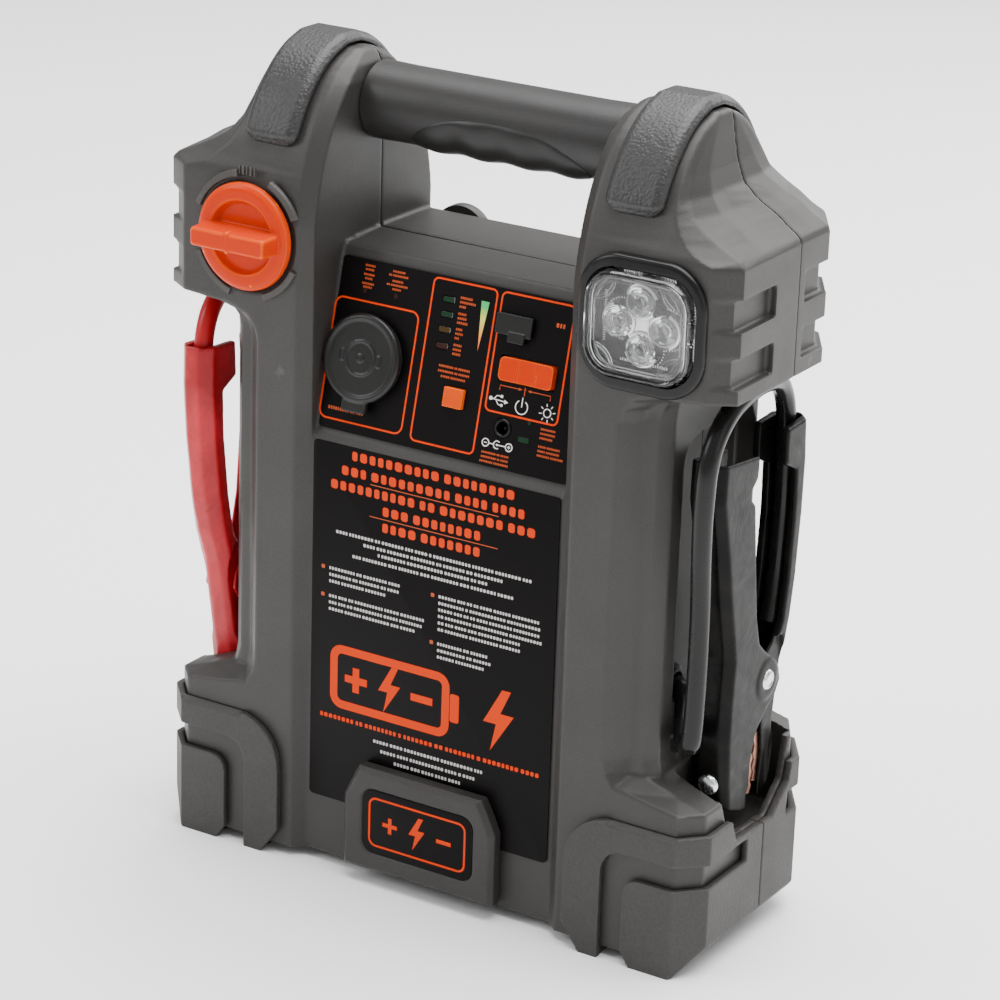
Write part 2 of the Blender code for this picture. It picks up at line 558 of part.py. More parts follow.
uu, uv = USB_UV
usb_port = panel_prism("usb_port", round_rect(uu, uv, 14.0, 6.4, 0.4, 1), -12.2, 0.4, STEEL)
cut(usb_port, panel_prism("c", round_rect(uu, uv, 12.6, 5.0, 0.3, 1), -10.5, 2))
usb_flap = panel_prism("usb_flap", [(16.9, 53.0), (33.1, 53.0), (33.1, 61.2), (16.9, 61.2)], 1.1, 2.8, BLACK)
join(usb_flap, panel_prism("tab", [(23.2, 50.4), (30.6, 50.4), (30.6, 53.4), (23.2, 53.4)], 1.5, 3.4))
usb_flap.data.materials.clear()
usb_flap.data.materials.append(BLACK)

ru, rv = ROCK_UV
rock_prof = [(-12.0, -2.2), (12.0, -2.2), (12.0, 3.6), (6.0, 2.4), (0, 2.0), (-6.0, 2.4), (-12.0, 3.6)]
rocker = loft("mode_rocker", [[on_panel(ru + a, rv + w, n) for a, n in rock_prof] for w in (-4.7, 4.7)], ORANGE)

bu, bv = BTN_UV
button = panel_prism("battery_check_button", round_rect(bu, bv, 8.8, 7.8, 0.8, 2), -3.0, 2.6, ORANGE)

pipe = panel_prism("level_light_pipe", [(-9.6, 40), (-3.4, 40), (-3.4, 64.4), (-9.6, 64.4)], -7.6, -4.2, WHITE)
for v in BARS_V:
    join(pipe, panel_prism("bar", round_rect(-6.5, v, 5.0, 2.0, 0.3, 1), -4.6, 1.0))
pipe.data.materials.clear()
pipe.data.materials.append(WHITE)

dc_jack = panel_revolve("dc_jack", [(0, -12.2), (5.0, -12.2), (5.0, -4.6), (3.7, -4.6), (3.7, 1.2), (2.6, 1.2), (2.6, -9.0),
                                    (0.8, -9.0), (0.8, -1.5), (0, -1.2)], JACK_UV[0], JACK_UV[1], 16, BLACK)
control_board = panel_prism("control_board", [(-16, 3), (54, 3), (54, 68), (-16, 68)], -14.6, -12.9)
join(control_board, panel_prism("rocker_switch", round_rect(ru, rv, 27.5, 12, 1, 1), -13.5, -4.6),
     panel_prism("check_switch", round_rect(bu, bv, 6, 6, 0.5, 1), -13.5, -5.4))
control_board.data.materials.clear()
control_board.data.materials.append(BOARD)

# ---------------------------------------------------------------- inside
battery = box("battery", (-75.5, -32, 8.2), (75.5, 30, 102), BATTERY_M)
for nm, x0 in (("battery_terminal_negative", -66), ("battery_terminal_positive", 60)):
    prism(nm, [(-20, 102.3), (-13.7, 102.3), (-13.7, 112), (-20, 112)], "x", x0, x0 + 0.8 * 1.0 + 5, STEEL)

MOTOR_YZ = (12.0, 140.0)
motor = revolve("compressor_motor", [(0, -54), (15, -54), (17, -52), (17, -9), (7, -9), (7, -7.2), (0, -7.2)],
                (0, MOTOR_YZ[0], MOTOR_YZ[1]), (1, 0, 0), 24, STEEL)


def gear(name, teeth, rp, x0, x1, centre, phase, mat):
    pts = []
    for i in range(teeth):
        for k, r in ((-0.27, rp - 1.2), (-0.13, rp + 0.85), (0.13, rp + 0.85), (0.27, rp - 1.2)):
            t = 2 * math.pi * (i + k + phase) / teeth
            pts.append((centre[0] + r * math.cos(t), centre[1] + r * math.sin(t)))
    return prism(name, pts, "x", x0, x1, mat)


PINION_T, CRANK_T = 10, 36
PINION_R, CRANK_R = 5.0, 18.0
CRANK_YZ = (MOTOR_YZ[0], MOTOR_YZ[1] + PINION_R + CRANK_R + 0.35)
gear("motor_pinion", PINION_T, PINION_R, -6.9, -1.0, MOTOR_YZ, 0.0 + PINION_T / 4.0, BRASS)
gear("crank_gear", CRANK_T, CRANK_R, -6.5, -1.4, CRANK_YZ, 0.5 - CRANK_T / 4.0, WHITE)
pump = box("compressor_pump", (-0.6, -4, 144), (22, 28, 182), STEEL)
head = revolve("cyl", [(0, 20), (11, 20), (11, 25), (14, 25), (14, 27), (11, 27), (11, 30), (14, 30), (14, 32), (11, 32), (11, 35), (14, 35), (14, 37),
                       (11, 37), (11, 40), (14.5, 40), (14.5, 47), (0, 47)], (0, 12, 163.3), (1, 0, 0), 18)
join(pump, head)
pump.data.materials.clear()
pump.data.materials.append(STEEL)

# ------------------------------------------------------------------- rear
gx, gz = GAUGE_XZ
gauge_body = revolve("gauge_body", [(0, -12), (7.4, -12), (7.4, 0.4), (13.2, 0.4), (13.2, 4.8), (12.6, 5.5), (11.7, 5.5), (11.7, 2.2), (0, 2.2)],
                     (gx, BODY_REAR, gz), (0, 1, 0), 28, BLACK)
NEEDLE = [(-0.9, -3.2), (0.9, -3.2), (1.2, 0), (0.35, 9.6), (-0.35, 9.6), (-1.2, 0)]
NEEDLE_REST = math.radians(-135)    # the needle's zero, low on the +X side
needle = prism("gauge_needle", [(gx + a * math.cos(NEEDLE_REST) - b * math.sin(NEEDLE_REST),
                                 gz + a * math.sin(NEEDLE_REST) + b * math.cos(NEEDLE_REST)) for a, b in NEEDLE],
               "y", BODY_REAR + 2.6, BODY_REAR + 3.1, ORANGE)
gauge_lens = revolve("gauge_lens", [(0, 3.6), (11.4, 3.6), (11.4, 4.6), (9, 5.2), (0, 5.4)], (gx, BODY_REAR, gz), (0, 1, 0), 24, CLEAR)
sxx, sz = SWITCH_XZ
sw_prof = [(-5.9, 1.5), (-5.9, 45.3 - 43 + 0.9), (0, 2.0), (5.9, 3.2), (5.9, 1.5), (4, -2.6), (-4, -2.6)]
loft("compressor_switch", [[(sxx + w, BODY_REAR + n, sz + a) for a, n in sw_prof] for w in (-9.9, 9.9)], ORANGE)
revolve("hose_outlet", [(0, -9), (5.0, -9), (5.0, 0.4), (8, 0.4), (8, 3.4), (5, 3.4), (5, 5.6), (2.5, 5.6), (2.5, -7), (0, -7)],
        (40, BODY_REAR, 205), (0, 1, 0), 16, BRASS)

# ----------------------------------------------------------------- clamps
# side outlines (y, z) of the two sheet halves of the clamp on the lamp side
FREE_HALF = [(-31.3, 208.0), (-31.9, 192), (-26.3, 169.5), (-22.0, 148.6), (-18.6, 134.9), (-16.2, 123.6), (-17.2, 107),
             (-17.6, 90), (-16.2, 71), (-14.3, 60.3), (-2.9, 55.2), (3.4, 54.2), (2.6, 61.5), (4.3, 64), (4.5, 74), (7.4, 85.1),
             (14.8, 92.5), (23.0, 98.0), (26.0, 103.0), (24.5, 109), (19.5, 114.0), (12.0, 119.5), (6.8, 124.2), (3.1, 136.4),
             (-0.5, 161.5), (-3.6, 185), (-7.0, 188), (-7.0, 191.8), (-2.6, 195.9), (-2.3, 204.5)]
CABLE_HALF = [(39.5, 210), (41.0, 193.4), (40.6, 171), (38.2, 144.8), (34.6, 127.8), (30.4, 115.0), (27.0, 92), (23.6, 62.2),
              (19.5, 55.5), (15.6, 54.8), (15.6, 60), (17.0, 74), (15.0, 88), (9.0, 96.0), (7.2, 106), (12.0, 113.5),
              (20.5, 119.5), (25.2, 128), (27.8, 145), (29.6, 171), (29.2, 190), (20.0, 194.5), (20.0, 209)]
WIRE_PTS = [(80.0, -11.2, 106.3), (86.0, -11.2, 106.3), (92.0, -11.2, 106.3), (97.4, -11.4, 106.0), (100.8, -14.6, 103.0),
            (104.1, -20.4, 97.5), (107.6, -26.0, 91.6), (110.8, -29.6, 89.2), (113.2, -31.0, 93.0), (114.0, -31.0, 102.0),
            (114.1, -30.6, 115.0), (114.2, -30.4, 132.0), (114.8, -31.9, 152.0), (116.4, -36.3, 175.0),
            (117.8, -38.8, 196.0), (118.6, -37.0, 214.0), (118.8, -26.0, 226.2), (118.2, -9.0, 230.8), (116.6, 9.0, 230.4),
            (115.0, 22.5, 226.0), (114.1, 30.0, 216.5), (113.85, 32.6, 204.0), (113.85, 33.9, 188.0), (113.85, 33.7, 168.0),
            (113.85, 32.0, 146.0), (113.85, 29.2, 131.5), (113.85, 27.4, 125.5)]


def stowed(side):
    """Placement of a clamp: the red one is the same clamp turned half round."""
    if side > 0:
        return Matrix.Identity(4)
    pivot = Vector((-(CLAMP_X[0] + CLAMP_X[1]) / 2, -PIVOT_YZ[0], 60.0))
    turn = Matrix.Rotation(math.pi, 4, "Z")
    lean = Matrix.Translation(pivot) @ Matrix.Rotation(-CLAMP_LEAN, 4, "Y") @ Matrix.Translation(-pivot)
    return lean @ turn


def move_verts(ob, mat4):
    t = mat4.copy()
    t.translation = t.translation * MM
    ob.data.transform(t)
    ob.data.update()
    return ob


def clamp(prefix, side, vinyl):
    m = stowed(side)
    x0, x1 = CLAMP_X
    free = prism(prefix + "_clamp_jaw", FREE_HALF, "x", x0, x1, vinyl)
    cav = [(-28, 215), (-28.9, 191), (-23.2, 169), (-19.0, 148), (-15.6, 135), (-13.4, 123.6), (-14.2, 107), (-14.6, 90),
           (-13.2, 72), (-11.5, 58), (-9, 50), (40, 50), (40, 215)]
    cut(free, prism("c", cav, "x", x0 + 1.7, x1 - 1.7))
    # relief in the front corner for the cable on its way out
    cut(free, box("c", (x0 - 1, -20, 84), (x0 + 3.6, -12.2, 114)))
    held = prism(prefix + "_clamp_handle", CABLE_HALF, "x", x0, x1, vinyl)
    # the held half is narrower round the pivot and inside the jaw of the other half
    for a, b in ((x0 - 1, x0 + 2.0), (x1 - 2.0, x1 + 1)):
        cut(held, prism("c", [(-10, 50), (20.5, 50), (21.5, 74), (27.4, 92), (27.5, 116), (25.4, 122), (10, 122), (-10, 122)],
                        "x", a, b))
    cav2 = [(15, 215), (37.4, 215), (38.9, 193.4), (38.5, 171), (36.1, 144.8), (32.4, 127.8), (28.2, 115), (24.6, 92),
            (21.4, 64), (18.5, 50), (0, 50), (0, 215)]
    cut(held, prism("c", cav2, "x", x0 + 3.4, x1 - 3.4))
    # rounded back: both rear corners are taken off along the handle
    BACK = [(48, 21.0), (62.2, 23.6), (92, 27.0), (115, 30.4), (127.8, 34.6), (144.8, 38.2), (171, 40.6), (193.4, 41.0), (212, 39.4)]
    for xa, xb in ((x1 + 1, x1 - 4.6), (x0 - 1, x0 + 4.6)):
        cut(held, loft("c", [[(xa, y - 3.0 - 3.2 * min(1, max(0, (z - 100) / 50)), z), (xa, y + 2, z), (xb, y + 2, z), (xb, y - 0.05, z)]
                             for z, y in BACK]))
    for o in (free, held):
        cut(o, revolve("pin", [(0, -20), (2.3, -20), (2.3, 20), (0, 20)],
                       ((x0 + x1) / 2, PIVOT_YZ[0], PIVOT_YZ[1]), (1, 0, 0), 14))
        o.data.materials.clear()
        o.data.materials.append(vinyl)
    hx = (x1 - x0) / 2
    rivet = revolve(prefix + "_clamp_rivet", [(0, -hx - 2.0), (3.4, -hx - 1.6), (4.2, -hx - 0.3), (2.0, -hx - 0.3),
                                              (2.0, hx + 0.3), (4.2, hx + 0.3), (3.4, hx + 1.6), (0, hx + 2.0)],
                    ((x0 + x1) / 2, PIVOT_YZ[0], PIVOT_YZ[1]), (1, 0, 0), 14, STEEL)
    # torsion spring coil round the rivet
    spring = revolve(prefix + "_clamp_spring", [(2.9, -3.6), (4.6, -3.6), (4.6, 3.6), (2.9, 3.6)],
                     ((x0 + x1) / 2, PIVOT_YZ[0], PIVOT_YZ[1]), (1, 0, 0), 14, STEEL)
    teeth_f = [(-11.2, 62)] + [(10.2 + (1.5 if i % 2 else 0), 58 + 3.0 * i) for i in range(9)] + [(4, 86), (-11.2, 80)]
    plate_f = prism(prefix + "_jaw_plate_a", teeth_f, "x", x0 + 3.0, x1 - 3.0, COPPER)
    teeth_r = [(20.1, 60)] + [(21.7, 74), (22.2, 80)] + [(14.4 - (1.3 if i % 2 else 0), 83 - 3.0 * i) for i in range(8)]
    plate_r = prism(prefix + "_jaw_plate_b", teeth_r, "x", x0 + 3.7, x1 - 3.7, COPPER)
    jr = revolve(prefix + "_jaw_rivet", [(0, 0), (2.0, 0), (2.0, 5.0), (4.4, 5.0), (4.0, 6.4), (2.4, 7.5), (0, 7.9)],
                 ((x0 + x1) / 2 + 0.6, -11.8, 71), (0, -1, 0), 16, STEEL)
    cut(free, revolve("c", [(0, -1), (2.3, -1), (2.3, 8), (0, 8)], ((x0 + x1) / 2 + 0.6, -11.8, 71), (0, -1, 0), 12))
    for o in (free, held, rivet, spring, plate_f, plate_r, jr):
        move_verts(o, m)


clamp("black", 1, VINYL)
clamp("red", -1, RED)


def smooth_route(pts, step):
    """Even points along a Catmull-Rom curve through the route's own points."""
    P = [Vector(p) for p in pts]
    dense = []
    for i in range(len(P) - 1):
        p0 = P[i - 1] if i else P[0] * 2 - P[1]
        p1, p2 = P[i], P[i + 1]
        p3 = P[i + 2] if i + 2 < len(P) else P[-1] * 2 - P[-2]
        for k in range(24):
            t = k / 24
            dense.append(0.5 * ((2 * p1) + (p2 - p0) * t + (2 * p0 - 5 * p1 + 4 * p2 - p3) * t * t +
                                (3 * p1 - 3 * p2 + p3 - p0) * t ** 3))
    dense.append(P[-1])
    length = sum((b - a).length for a, b in zip(dense, dense[1:]))
    n = max(2, round(length / step))
    out, want, run = [dense[0]], length / n, 0.0
    for a, b in zip(dense, dense[1:]):
        d = (b - a).length
        while run + d >= want - 1e-9 and len(out) < n:
            out.append(a.lerp(b, (want - run) / d))
            want += length / n
        run += d
    out.append(dense[-1])
    return out, length


def cable(name, side, mat):
    m = stowed(side)
    start = [Vector(p) if side > 0 else Matrix.Rotation(math.pi, 4, "Z") @ Vector(p) for p in WIRE_PTS]
    # the lean of the clamp fades in along the cable
    n = len(start)
    pts = []
    for i, p in enumerate(start):
        w = min(1.0, i / (n - 5.0))
        pts.append(p.lerp(m @ Vector(WIRE_PTS[i]), w))
    route, length = smooth_route(pts[1:], 9.0)
    cu_ = bpy.data.curves.new(name, "CURVE")
    cu_.dimensions = "3D"
    sp = cu_.splines.new("POLY")
    sp.points.add(len(route) - 1)
    for q, p in zip(sp.points, route):
        q.co = (p.x * MM, p.y * MM, p.z * MM, 1)
    cu_.bevel_depth = CABLE_R * MM
    cu_.bevel_resolution = 2
    cu_.use_fill_caps = True
    ob = bpy.data.objects.new(name, cu_)
    cu_.materials.append(mat)
    bpy.context.scene.collection.objects.link(ob)
    print(name, "length_mm", round(length, 1), "points", len(route))
    return ob


cable("black_cable", 1, VINYL)
cable("red_cable", -1, RED)
for nm, s, mat in (("black_cable_gland", 1, VINYL), ("red_cable_gland", -1, RED)):
    g = revolve(nm, [(CABLE_R + 1.2, -3.6), (6.7, -3.6), (6.7, 0.4), (8.6, 0.4), (8.0, 2.2), (6.4, 3.0), (CABLE_R + 1.4, 3.0)],
                (s * 92.0, -11.2 * s, 106.3), (s, 0, 0), 16, BLACK)

# --------------------------------------------------------------- finishing
for ob in list(bpy.context.scene.objects):
    if ob.type == "MESH":
        me = ob.data
        me.shade_smooth()
        me.set_sharp_from_angle(angle=math.radians(32))
    ob.location.y += Y_SHIFT * MM
bpy.context.view_layer.update()
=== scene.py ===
import bpy
import bmesh
import math
import random
from mathutils import Vector, Matrix


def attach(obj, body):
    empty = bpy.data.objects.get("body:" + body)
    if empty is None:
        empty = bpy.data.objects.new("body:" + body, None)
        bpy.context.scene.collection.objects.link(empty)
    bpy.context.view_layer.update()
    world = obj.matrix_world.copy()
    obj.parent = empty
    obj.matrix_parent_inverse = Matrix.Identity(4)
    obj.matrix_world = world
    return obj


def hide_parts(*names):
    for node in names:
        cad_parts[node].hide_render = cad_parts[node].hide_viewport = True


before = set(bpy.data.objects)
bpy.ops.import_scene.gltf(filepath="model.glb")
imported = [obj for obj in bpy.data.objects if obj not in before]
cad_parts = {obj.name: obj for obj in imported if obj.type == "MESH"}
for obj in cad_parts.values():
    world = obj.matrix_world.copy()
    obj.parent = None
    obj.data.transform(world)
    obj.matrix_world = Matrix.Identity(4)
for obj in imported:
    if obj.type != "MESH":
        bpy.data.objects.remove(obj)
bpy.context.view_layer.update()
random.seed(7)

# ---------------------------------------------------------------- dimensions (mm)
MM = 0.001
GAP = 0.3               # clearance between touching pieces
Y_SHIFT = 5.5           # moves the design so that its box is centred on Y = 0
WALL = 3.0              # moulded wall thickness
Z_BOTTOM = 4.0          # underside of the housing, the feet reach 0
COL_IN = 59.0           # inner wall of each column
COL_EDGE = 64.3         # where the inner chamfer meets the front face
FRONT = 46.0            # half depth of the columns
BODY_FRONT = 41.5       # front of the recessed centre body
BODY_REAR = 43.0
BODY_TOP = 262.0
SEAM_Y = 5.0            # parting plane of the two shells
SEAM = 0.15             # half of the parting gap
ARCH_Z = 255.0          # centre of the arch ellipse
ARCH_B = 80.0           # its height
ARCH_A = 47.0           # its half depth
SHOULDER_Z = (236.0, 288.3)
SHOULDER_X = 129.6
BAY_X = 101.0           # side wall in the clamp bay
BAY_FLOOR = 92.0        # floor of the clamp bay recess
POCKET_X = (104.0, 122.3)
POCKET_Y = (-25.0, 35.0)
POCKET_Z = 44.0
PAD_X = (69.5, 94.3)
PAD_T = 5.0
HANDLE_YZ = (3.0, 314.5)
HANDLE_R = 16.0
KNOB_XZ = (-88.2, 263.9)
KNOB_R = 21.9
LAMP_XZ = (91.9, 261.6)
LAMP_W, LAMP_H = 45.4, 41.2
# slanted control panel: foot point and the direction up the panel
PANEL_FOOT = (-38.5, 188.0)
PANEL_HEAD = (-21.5, 258.0)
PIVOT_YZ = (14.0, 106.7)     # clamp hinge pin
CLAMP_X = (106.0, 121.7)     # sides of a stowed clamp
CLAMP_LEAN = math.radians(2.4)
CABLE_R = 4.0
GAUGE_XZ = (-45.5, 251.0)


for n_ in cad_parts.values():
    n_.data.materials.clear()

# ------------------------------------------------------------------- camera
AZ, EL, ROLL = math.radians(31.57), math.radians(20.28), math.radians(1.89)
back = Vector((math.sin(AZ) * math.cos(EL), -math.cos(AZ) * math.cos(EL), math.sin(EL)))
right = Vector((math.cos(AZ), math.sin(AZ), 0))
up = back.cross(right)
cr, sr = math.cos(ROLL), math.sin(ROLL)
ax, ay = right * cr + up * sr, -right * sr + up * cr
pos = Vector((0.0044, Y_SHIFT * MM, 0.1599)) + back * 1.410
cam_data = bpy.data.cameras.new("camera")
cam_data.lens = 126.42
cam_data.sensor_width = 36.0
cam_data.clip_end = 20
cam = bpy.data.objects.new("camera", cam_data)
bpy.context.scene.collection.objects.link(cam)
cam.matrix_world = Matrix(((ax.x, ay.x, back.x, pos.x), (ax.y, ay.y, back.y, pos.y), (ax.z, ay.z, back.z, pos.z), (0, 0, 0, 1)))
bpy.context.scene.camera = cam

# ---------------------------------------------------------------- node helpers


class Nodes:
    def __init__(self, name):
        self.m = bpy.data.materials.new(name)
        self.m.use_nodes = True
        self.t = self.m.node_tree
        self.p = self.t.nodes["Principled BSDF"]
        self.co = self.t.nodes.new("ShaderNodeTexCoord").outputs["Object"]

    def new(self, kind, **ins):
        n = self.t.nodes.new("ShaderNode" + kind)
        for k, v in ins.items():
            self.put(n.inputs[k.replace("_", " ")], v)
        return n

    def put(self, sock, v):
        if isinstance(v, bpy.types.NodeSocket):
            self.t.links.new(v, sock)
        else:
            sock.default_value = v

    def noise(self, scale, detail=2.0, rough=0.5, dist=0.0, out="Fac"):
        return self.new("TexNoise", Vector=self.co, Scale=scale, Detail=detail, Roughness=rough, Distortion=dist).outputs[out]

    def ramp(self, fac, stops):
        n = self.new("ValToRGB", Fac=fac)
        e = n.color_ramp.elements
        while len(e) < len(stops):
            e.new(0.5)
        for i, (p, c) in enumerate(stops):
            e[i].position = p
            e[i].color = (*c, 1) if isinstance(c, (tuple, list)) else (c, c, c, 1)
        return n.outputs["Color"]

    def mix(self, fac, a, b, kind="MIX"):
        n = self.t.nodes.new("ShaderNodeMix")
        n.data_type = "RGBA"
        n.blend_type = kind
        self.put(n.inputs[0], fac)
        for k, v in ((6, a), (7, b)):
            self.put(n.inputs[k], (*v, 1) if isinstance(v, (tuple, list)) else v)
        return n.outputs[2]

    def math(self, op, a, b=0.0):
        n = self.t.nodes.new("ShaderNodeMath")
        n.operation = op
        self.put(n.inputs[0], a)
        self.put(n.inputs[1], b)
        return n.outputs[0]

    def bump(self, height, strength, dist, normal=None):
        n = self.new("Bump", Height=height, Strength=strength, Distance=dist)
        if normal is not None:
            self.put(n.inputs["Normal"], normal)
        return n.outputs["Normal"]

    def edge(self, lo=0.53, hi=0.60):
        g = self.t.nodes.new("ShaderNodeNewGeometry")
        return self.ramp(g.outputs["Pointiness"], ((lo, 0.0), (hi, 1.0)))

    def set(self, **ins):
        for k, v in ins.items():
            k = k.replace("_", " ")
            sock = self.p.inputs[k]
            if isinstance(v, (tuple, list)) and len(v) == 3 and len(sock.default_value) == 4:
                v = (*v, 1)
            self.put(sock, v)
        return self


def moulded(name, color, rough, grain, grain_h, edge=1.6, var=0.12, rough_var=0.06, spec=0.5, edge_range=(0.52, 0.60)):
    """Injection moulded plastic: spark-eroded grain, slight cloudiness, paler edges that are partly rubbing wear and
    partly painted edge highlight.
    """
    n = Nodes(name)
    cloud = n.noise(14, 4, 0.6)
    fine = n.noise(grain, 3, 0.55)
    dark = tuple(c * (1 - var) for c in color)
    light = tuple(c * (1 + var) for c in color)
    col = n.mix(cloud, dark, light)
    fine_c = n.ramp(fine, ((0.3, 0.82), (0.7, 1.16)))
    col = n.mix(1.0, col, fine_c, "MULTIPLY")
    # paler colour on sharp edges (pointiness): partly rubbing wear, partly painted edge highlight
    wear_and_highlight = tuple(min(1, c * edge + 0.006) for c in color)
    wear_and_highlight_mask = n.math("MULTIPLY", n.edge(*edge_range), n.ramp(n.noise(60, 4, 0.7), ((0.35, 0.25), (0.7, 1.0))))
    col = n.mix(wear_and_highlight_mask, col, wear_and_highlight)
    r = n.ramp(n.noise(30, 4, 0.6), ((0.3, rough - rough_var), (0.7, rough + rough_var)))
    n.set(Base_Color=col, Roughness=r, Normal=n.bump(fine, 0.55, grain_h), Specular_IOR_Level=spec)
    return n.m


# the eighth argument (edge) sets how pale the edges are painted: part wear, part painted edge highlight; strongest on
# the cap
HOUSING = moulded("housing", (0.0270, 0.0248, 0.0230), 0.46, 1500, 0.00012, 2.4, spec=0.35)
BUMPER = moulded("bumper", (0.0300, 0.0278, 0.0262), 0.56, 950, 0.00034, 2.2, 0.10, spec=0.35)
BADGE_M = moulded("badge", (0.0220, 0.0202, 0.0190), 0.50, 1500, 0.00012, 2.2, spec=0.35)
TRIM = moulded("black_trim", (0.0095, 0.0090, 0.0086), 0.38, 1700, 0.00006, 2.2, spec=0.3)
BLACK_SMOOTH = moulded("black_satin", (0.0045, 0.0043, 0.0042), 0.26, 1900, 0.00002, 2.0, spec=0.22)
CAP_M = moulded("cap", (0.0080, 0.0075, 0.0071), 0.33, 1600, 0.00005, 3.0, spec=0.32)
HANDLE_M = moulded("handle", (0.0140, 0.0130, 0.0125), 0.42, 1300, 0.00012, 2.0, spec=0.35)
CASE_M = moulded("battery_case", (0.03, 0.03, 0.034), 0.5, 1200, 0.0001)
WHITE_M = moulded("white_plastic", (0.70, 0.70, 0.67), 0.45, 1200, 0.00004, 1.05, 0.04)
BOARD_M = moulded("board", (0.015, 0.10, 0.04), 0.45, 900, 0.00006, 1.3)


def pebble():
    n = Nodes("pad_pebble")
    v = n.t.nodes.new("ShaderNodeTexVoronoi")
    v.feature = "SMOOTH_F1"
    n.put(v.inputs["Vector"], n.co)
    n.put(v.inputs["Scale"], 900.0)
    h = n.ramp(v.outputs["Distance"], ((0.05, 1.0), (0.75, 0.0)))
    fine = n.noise(1700, 2)
    nn = n.bump(h, 0.7, 0.00022)
    nn = n.bump(fine, 0.3, 0.00006, nn)
    base = n.mix(h, (0.0075, 0.0075, 0.0078), (0.0185, 0.0180, 0.0180))
    # paler colour on sharp edges (pointiness): painted edge highlight
    base = n.mix(n.edge(0.52, 0.6), base, (0.045, 0.044, 0.043))
    n.set(Base_Color=base, Roughness=n.ramp(n.noise(40, 3), ((0.3, 0.40), (0.7, 0.52))), Normal=nn)
    return n.m


PAD_M = pebble()


def film(name, color, rough, spec=0.3):
    """Printed polycarbonate film, very fine matt texture."""
    n = Nodes(name)
    f = n.noise(2600, 2)
    col = n.mix(n.noise(25, 3), tuple(c * 0.92 for c in color), tuple(c * 1.08 for c in color))
    n.set(Base_Color=col, Roughness=n.ramp(n.noise(18, 3), ((0.3, rough - 0.03), (0.7, rough + 0.04))),
          Normal=n.bump(f, 0.25, 0.00003), Specular_IOR_Level=spec)
    return n.m


LABEL_M = film("label_film", (0.0026, 0.0019, 0.0019), 0.40, 0.09)
INK_ORANGE = film("ink_orange", (0.64, 0.038, 0.0006), 0.45, 0.06)
INK_ORANGE_SOFT = film("ink_orange_soft", (0.42, 0.060, 0.012), 0.45, 0.2)
INK_WHITE = film("ink_white", (0.72, 0.70, 0.68), 0.45)
INK_GREY = film("ink_grey", (0.48, 0.46, 0.45), 0.45, 0.2)
INK_GREEN = film("ink_green", (0.003, 0.022, 0.008), 0.35, 0.2)
INK_AMBER = film("ink_amber", (0.038, 0.020, 0.003), 0.35, 0.2)
INK_REDDARK = film("ink_reddark", (0.022, 0.005, 0.003), 0.35, 0.2)


def wedge_ink():
    n = Nodes("ink_wedge")
    sep = n.t.nodes.new("ShaderNodeSeparateXYZ")
    n.put(sep.inputs[0], n.co)
    z0, z1 = 0.2312, 0.2500
    f = n.math("DIVIDE", n.math("SUBTRACT", sep.outputs["Z"], z0), z1 - z0)
    col = n.ramp(f, ((0.0, (0.72, 0.10, 0.02)), (0.35, (0.80, 0.30, 0.05)), (0.62, (0.66, 0.60, 0.08)), (0.9, (0.03, 0.42, 0.10))))
    n.set(Base_Color=col, Roughness=0.45)
    return n.m


INK_WEDGE = wedge_ink()


def translucent_orange(name, deep=(0.50, 0.024, 0.0001), painted_edge_light=(0.80, 0.17, 0.0005), trans=0.25):
    n = Nodes(name)
    # paler orange on sharp edges (pointiness) over the deeper orange: painted edge light
    e = n.edge(0.505, 0.56)
    col = n.mix(e, deep, painted_edge_light)
    col = n.mix(n.math("MULTIPLY", n.noise(120, 3), 0.2), col, (0.45, 0.020, 0.0002))
    n.set(Base_Color=col, Roughness=n.ramp(n.noise(60, 3), ((0.3, 0.16), (0.7, 0.26))), Subsurface_Weight=0.35,
          Subsurface_Radius=(0.9, 0.22, 0.02), Subsurface_Scale=0.004, Coat_Weight=0.0, Specular_IOR_Level=0.1,
          Normal=n.bump(n.noise(900, 2), 0.12, 0.00003))
    # faint orange emission: painted glow on plastic parts that are no lamp
    n.put(n.p.inputs["Emission Color"], (1.0, 0.06, 0.0, 1))
    n.put(n.p.inputs["Emission Strength"], 0.10)
    return n.m


ORANGE_M = translucent_orange("orange_plastic")


def vinyl(name, color, rough, patch=None, spec=0.32):
    """Dip-moulded vinyl: soft waves, smudges and a low sheen."""
    n = Nodes(name)
    big = n.noise(26, 5, 0.65, 0.8)
    mid = n.noise(140, 4, 0.6, 0.5)
    fine = n.noise(1500, 2)
    dark = tuple(c * 0.72 for c in color)
    light = patch or tuple(min(1, c * 1.25) for c in color)
    col = n.mix(n.ramp(big, ((0.38, 0.0), (0.68, 1.0))), dark, light)
    nn = n.bump(big, 0.35, 0.0012)
    nn = n.bump(mid, 0.28, 0.00035, nn)
    nn = n.bump(fine, 0.15, 0.00004, nn)
    n.set(Base_Color=col, Roughness=n.ramp(mid, ((0.3, rough - 0.07), (0.7, rough + 0.10))), Normal=nn, Specular_IOR_Level=spec)
    return n.m


BLACK_VINYL = vinyl("black_vinyl", (0.0034, 0.0031, 0.0029), 0.32, (0.0098, 0.0088, 0.0081), 0.09)
RED_VINYL = vinyl("red_vinyl", (0.46, 0.0060, 0.0120), 0.34, (0.62, 0.018, 0.030))


def rubber_cable(name, color, rough, spec=0.4):
    n = Nodes(name)
    fine = n.noise(1300, 3)
    long = n.noise(90, 3)
    col = n.mix(long, tuple(c * 0.85 for c in color), tuple(min(1, c * 1.2) for c in color))
    n.set(Base_Color=col, Roughness=n.ramp(long, ((0.3, rough - 0.05), (0.7, rough + 0.08))), Normal=n.bump(fine, 0.3, 0.00006),
          Specular_IOR_Level=spec)
    return n.m


CABLE_BLACK = rubber_cable("cable_black", (0.0072, 0.0068, 0.0065), 0.25, 0.22)
CABLE_RED = rubber_cable("cable_red", (0.42, 0.006, 0.010), 0.34, 0.3)


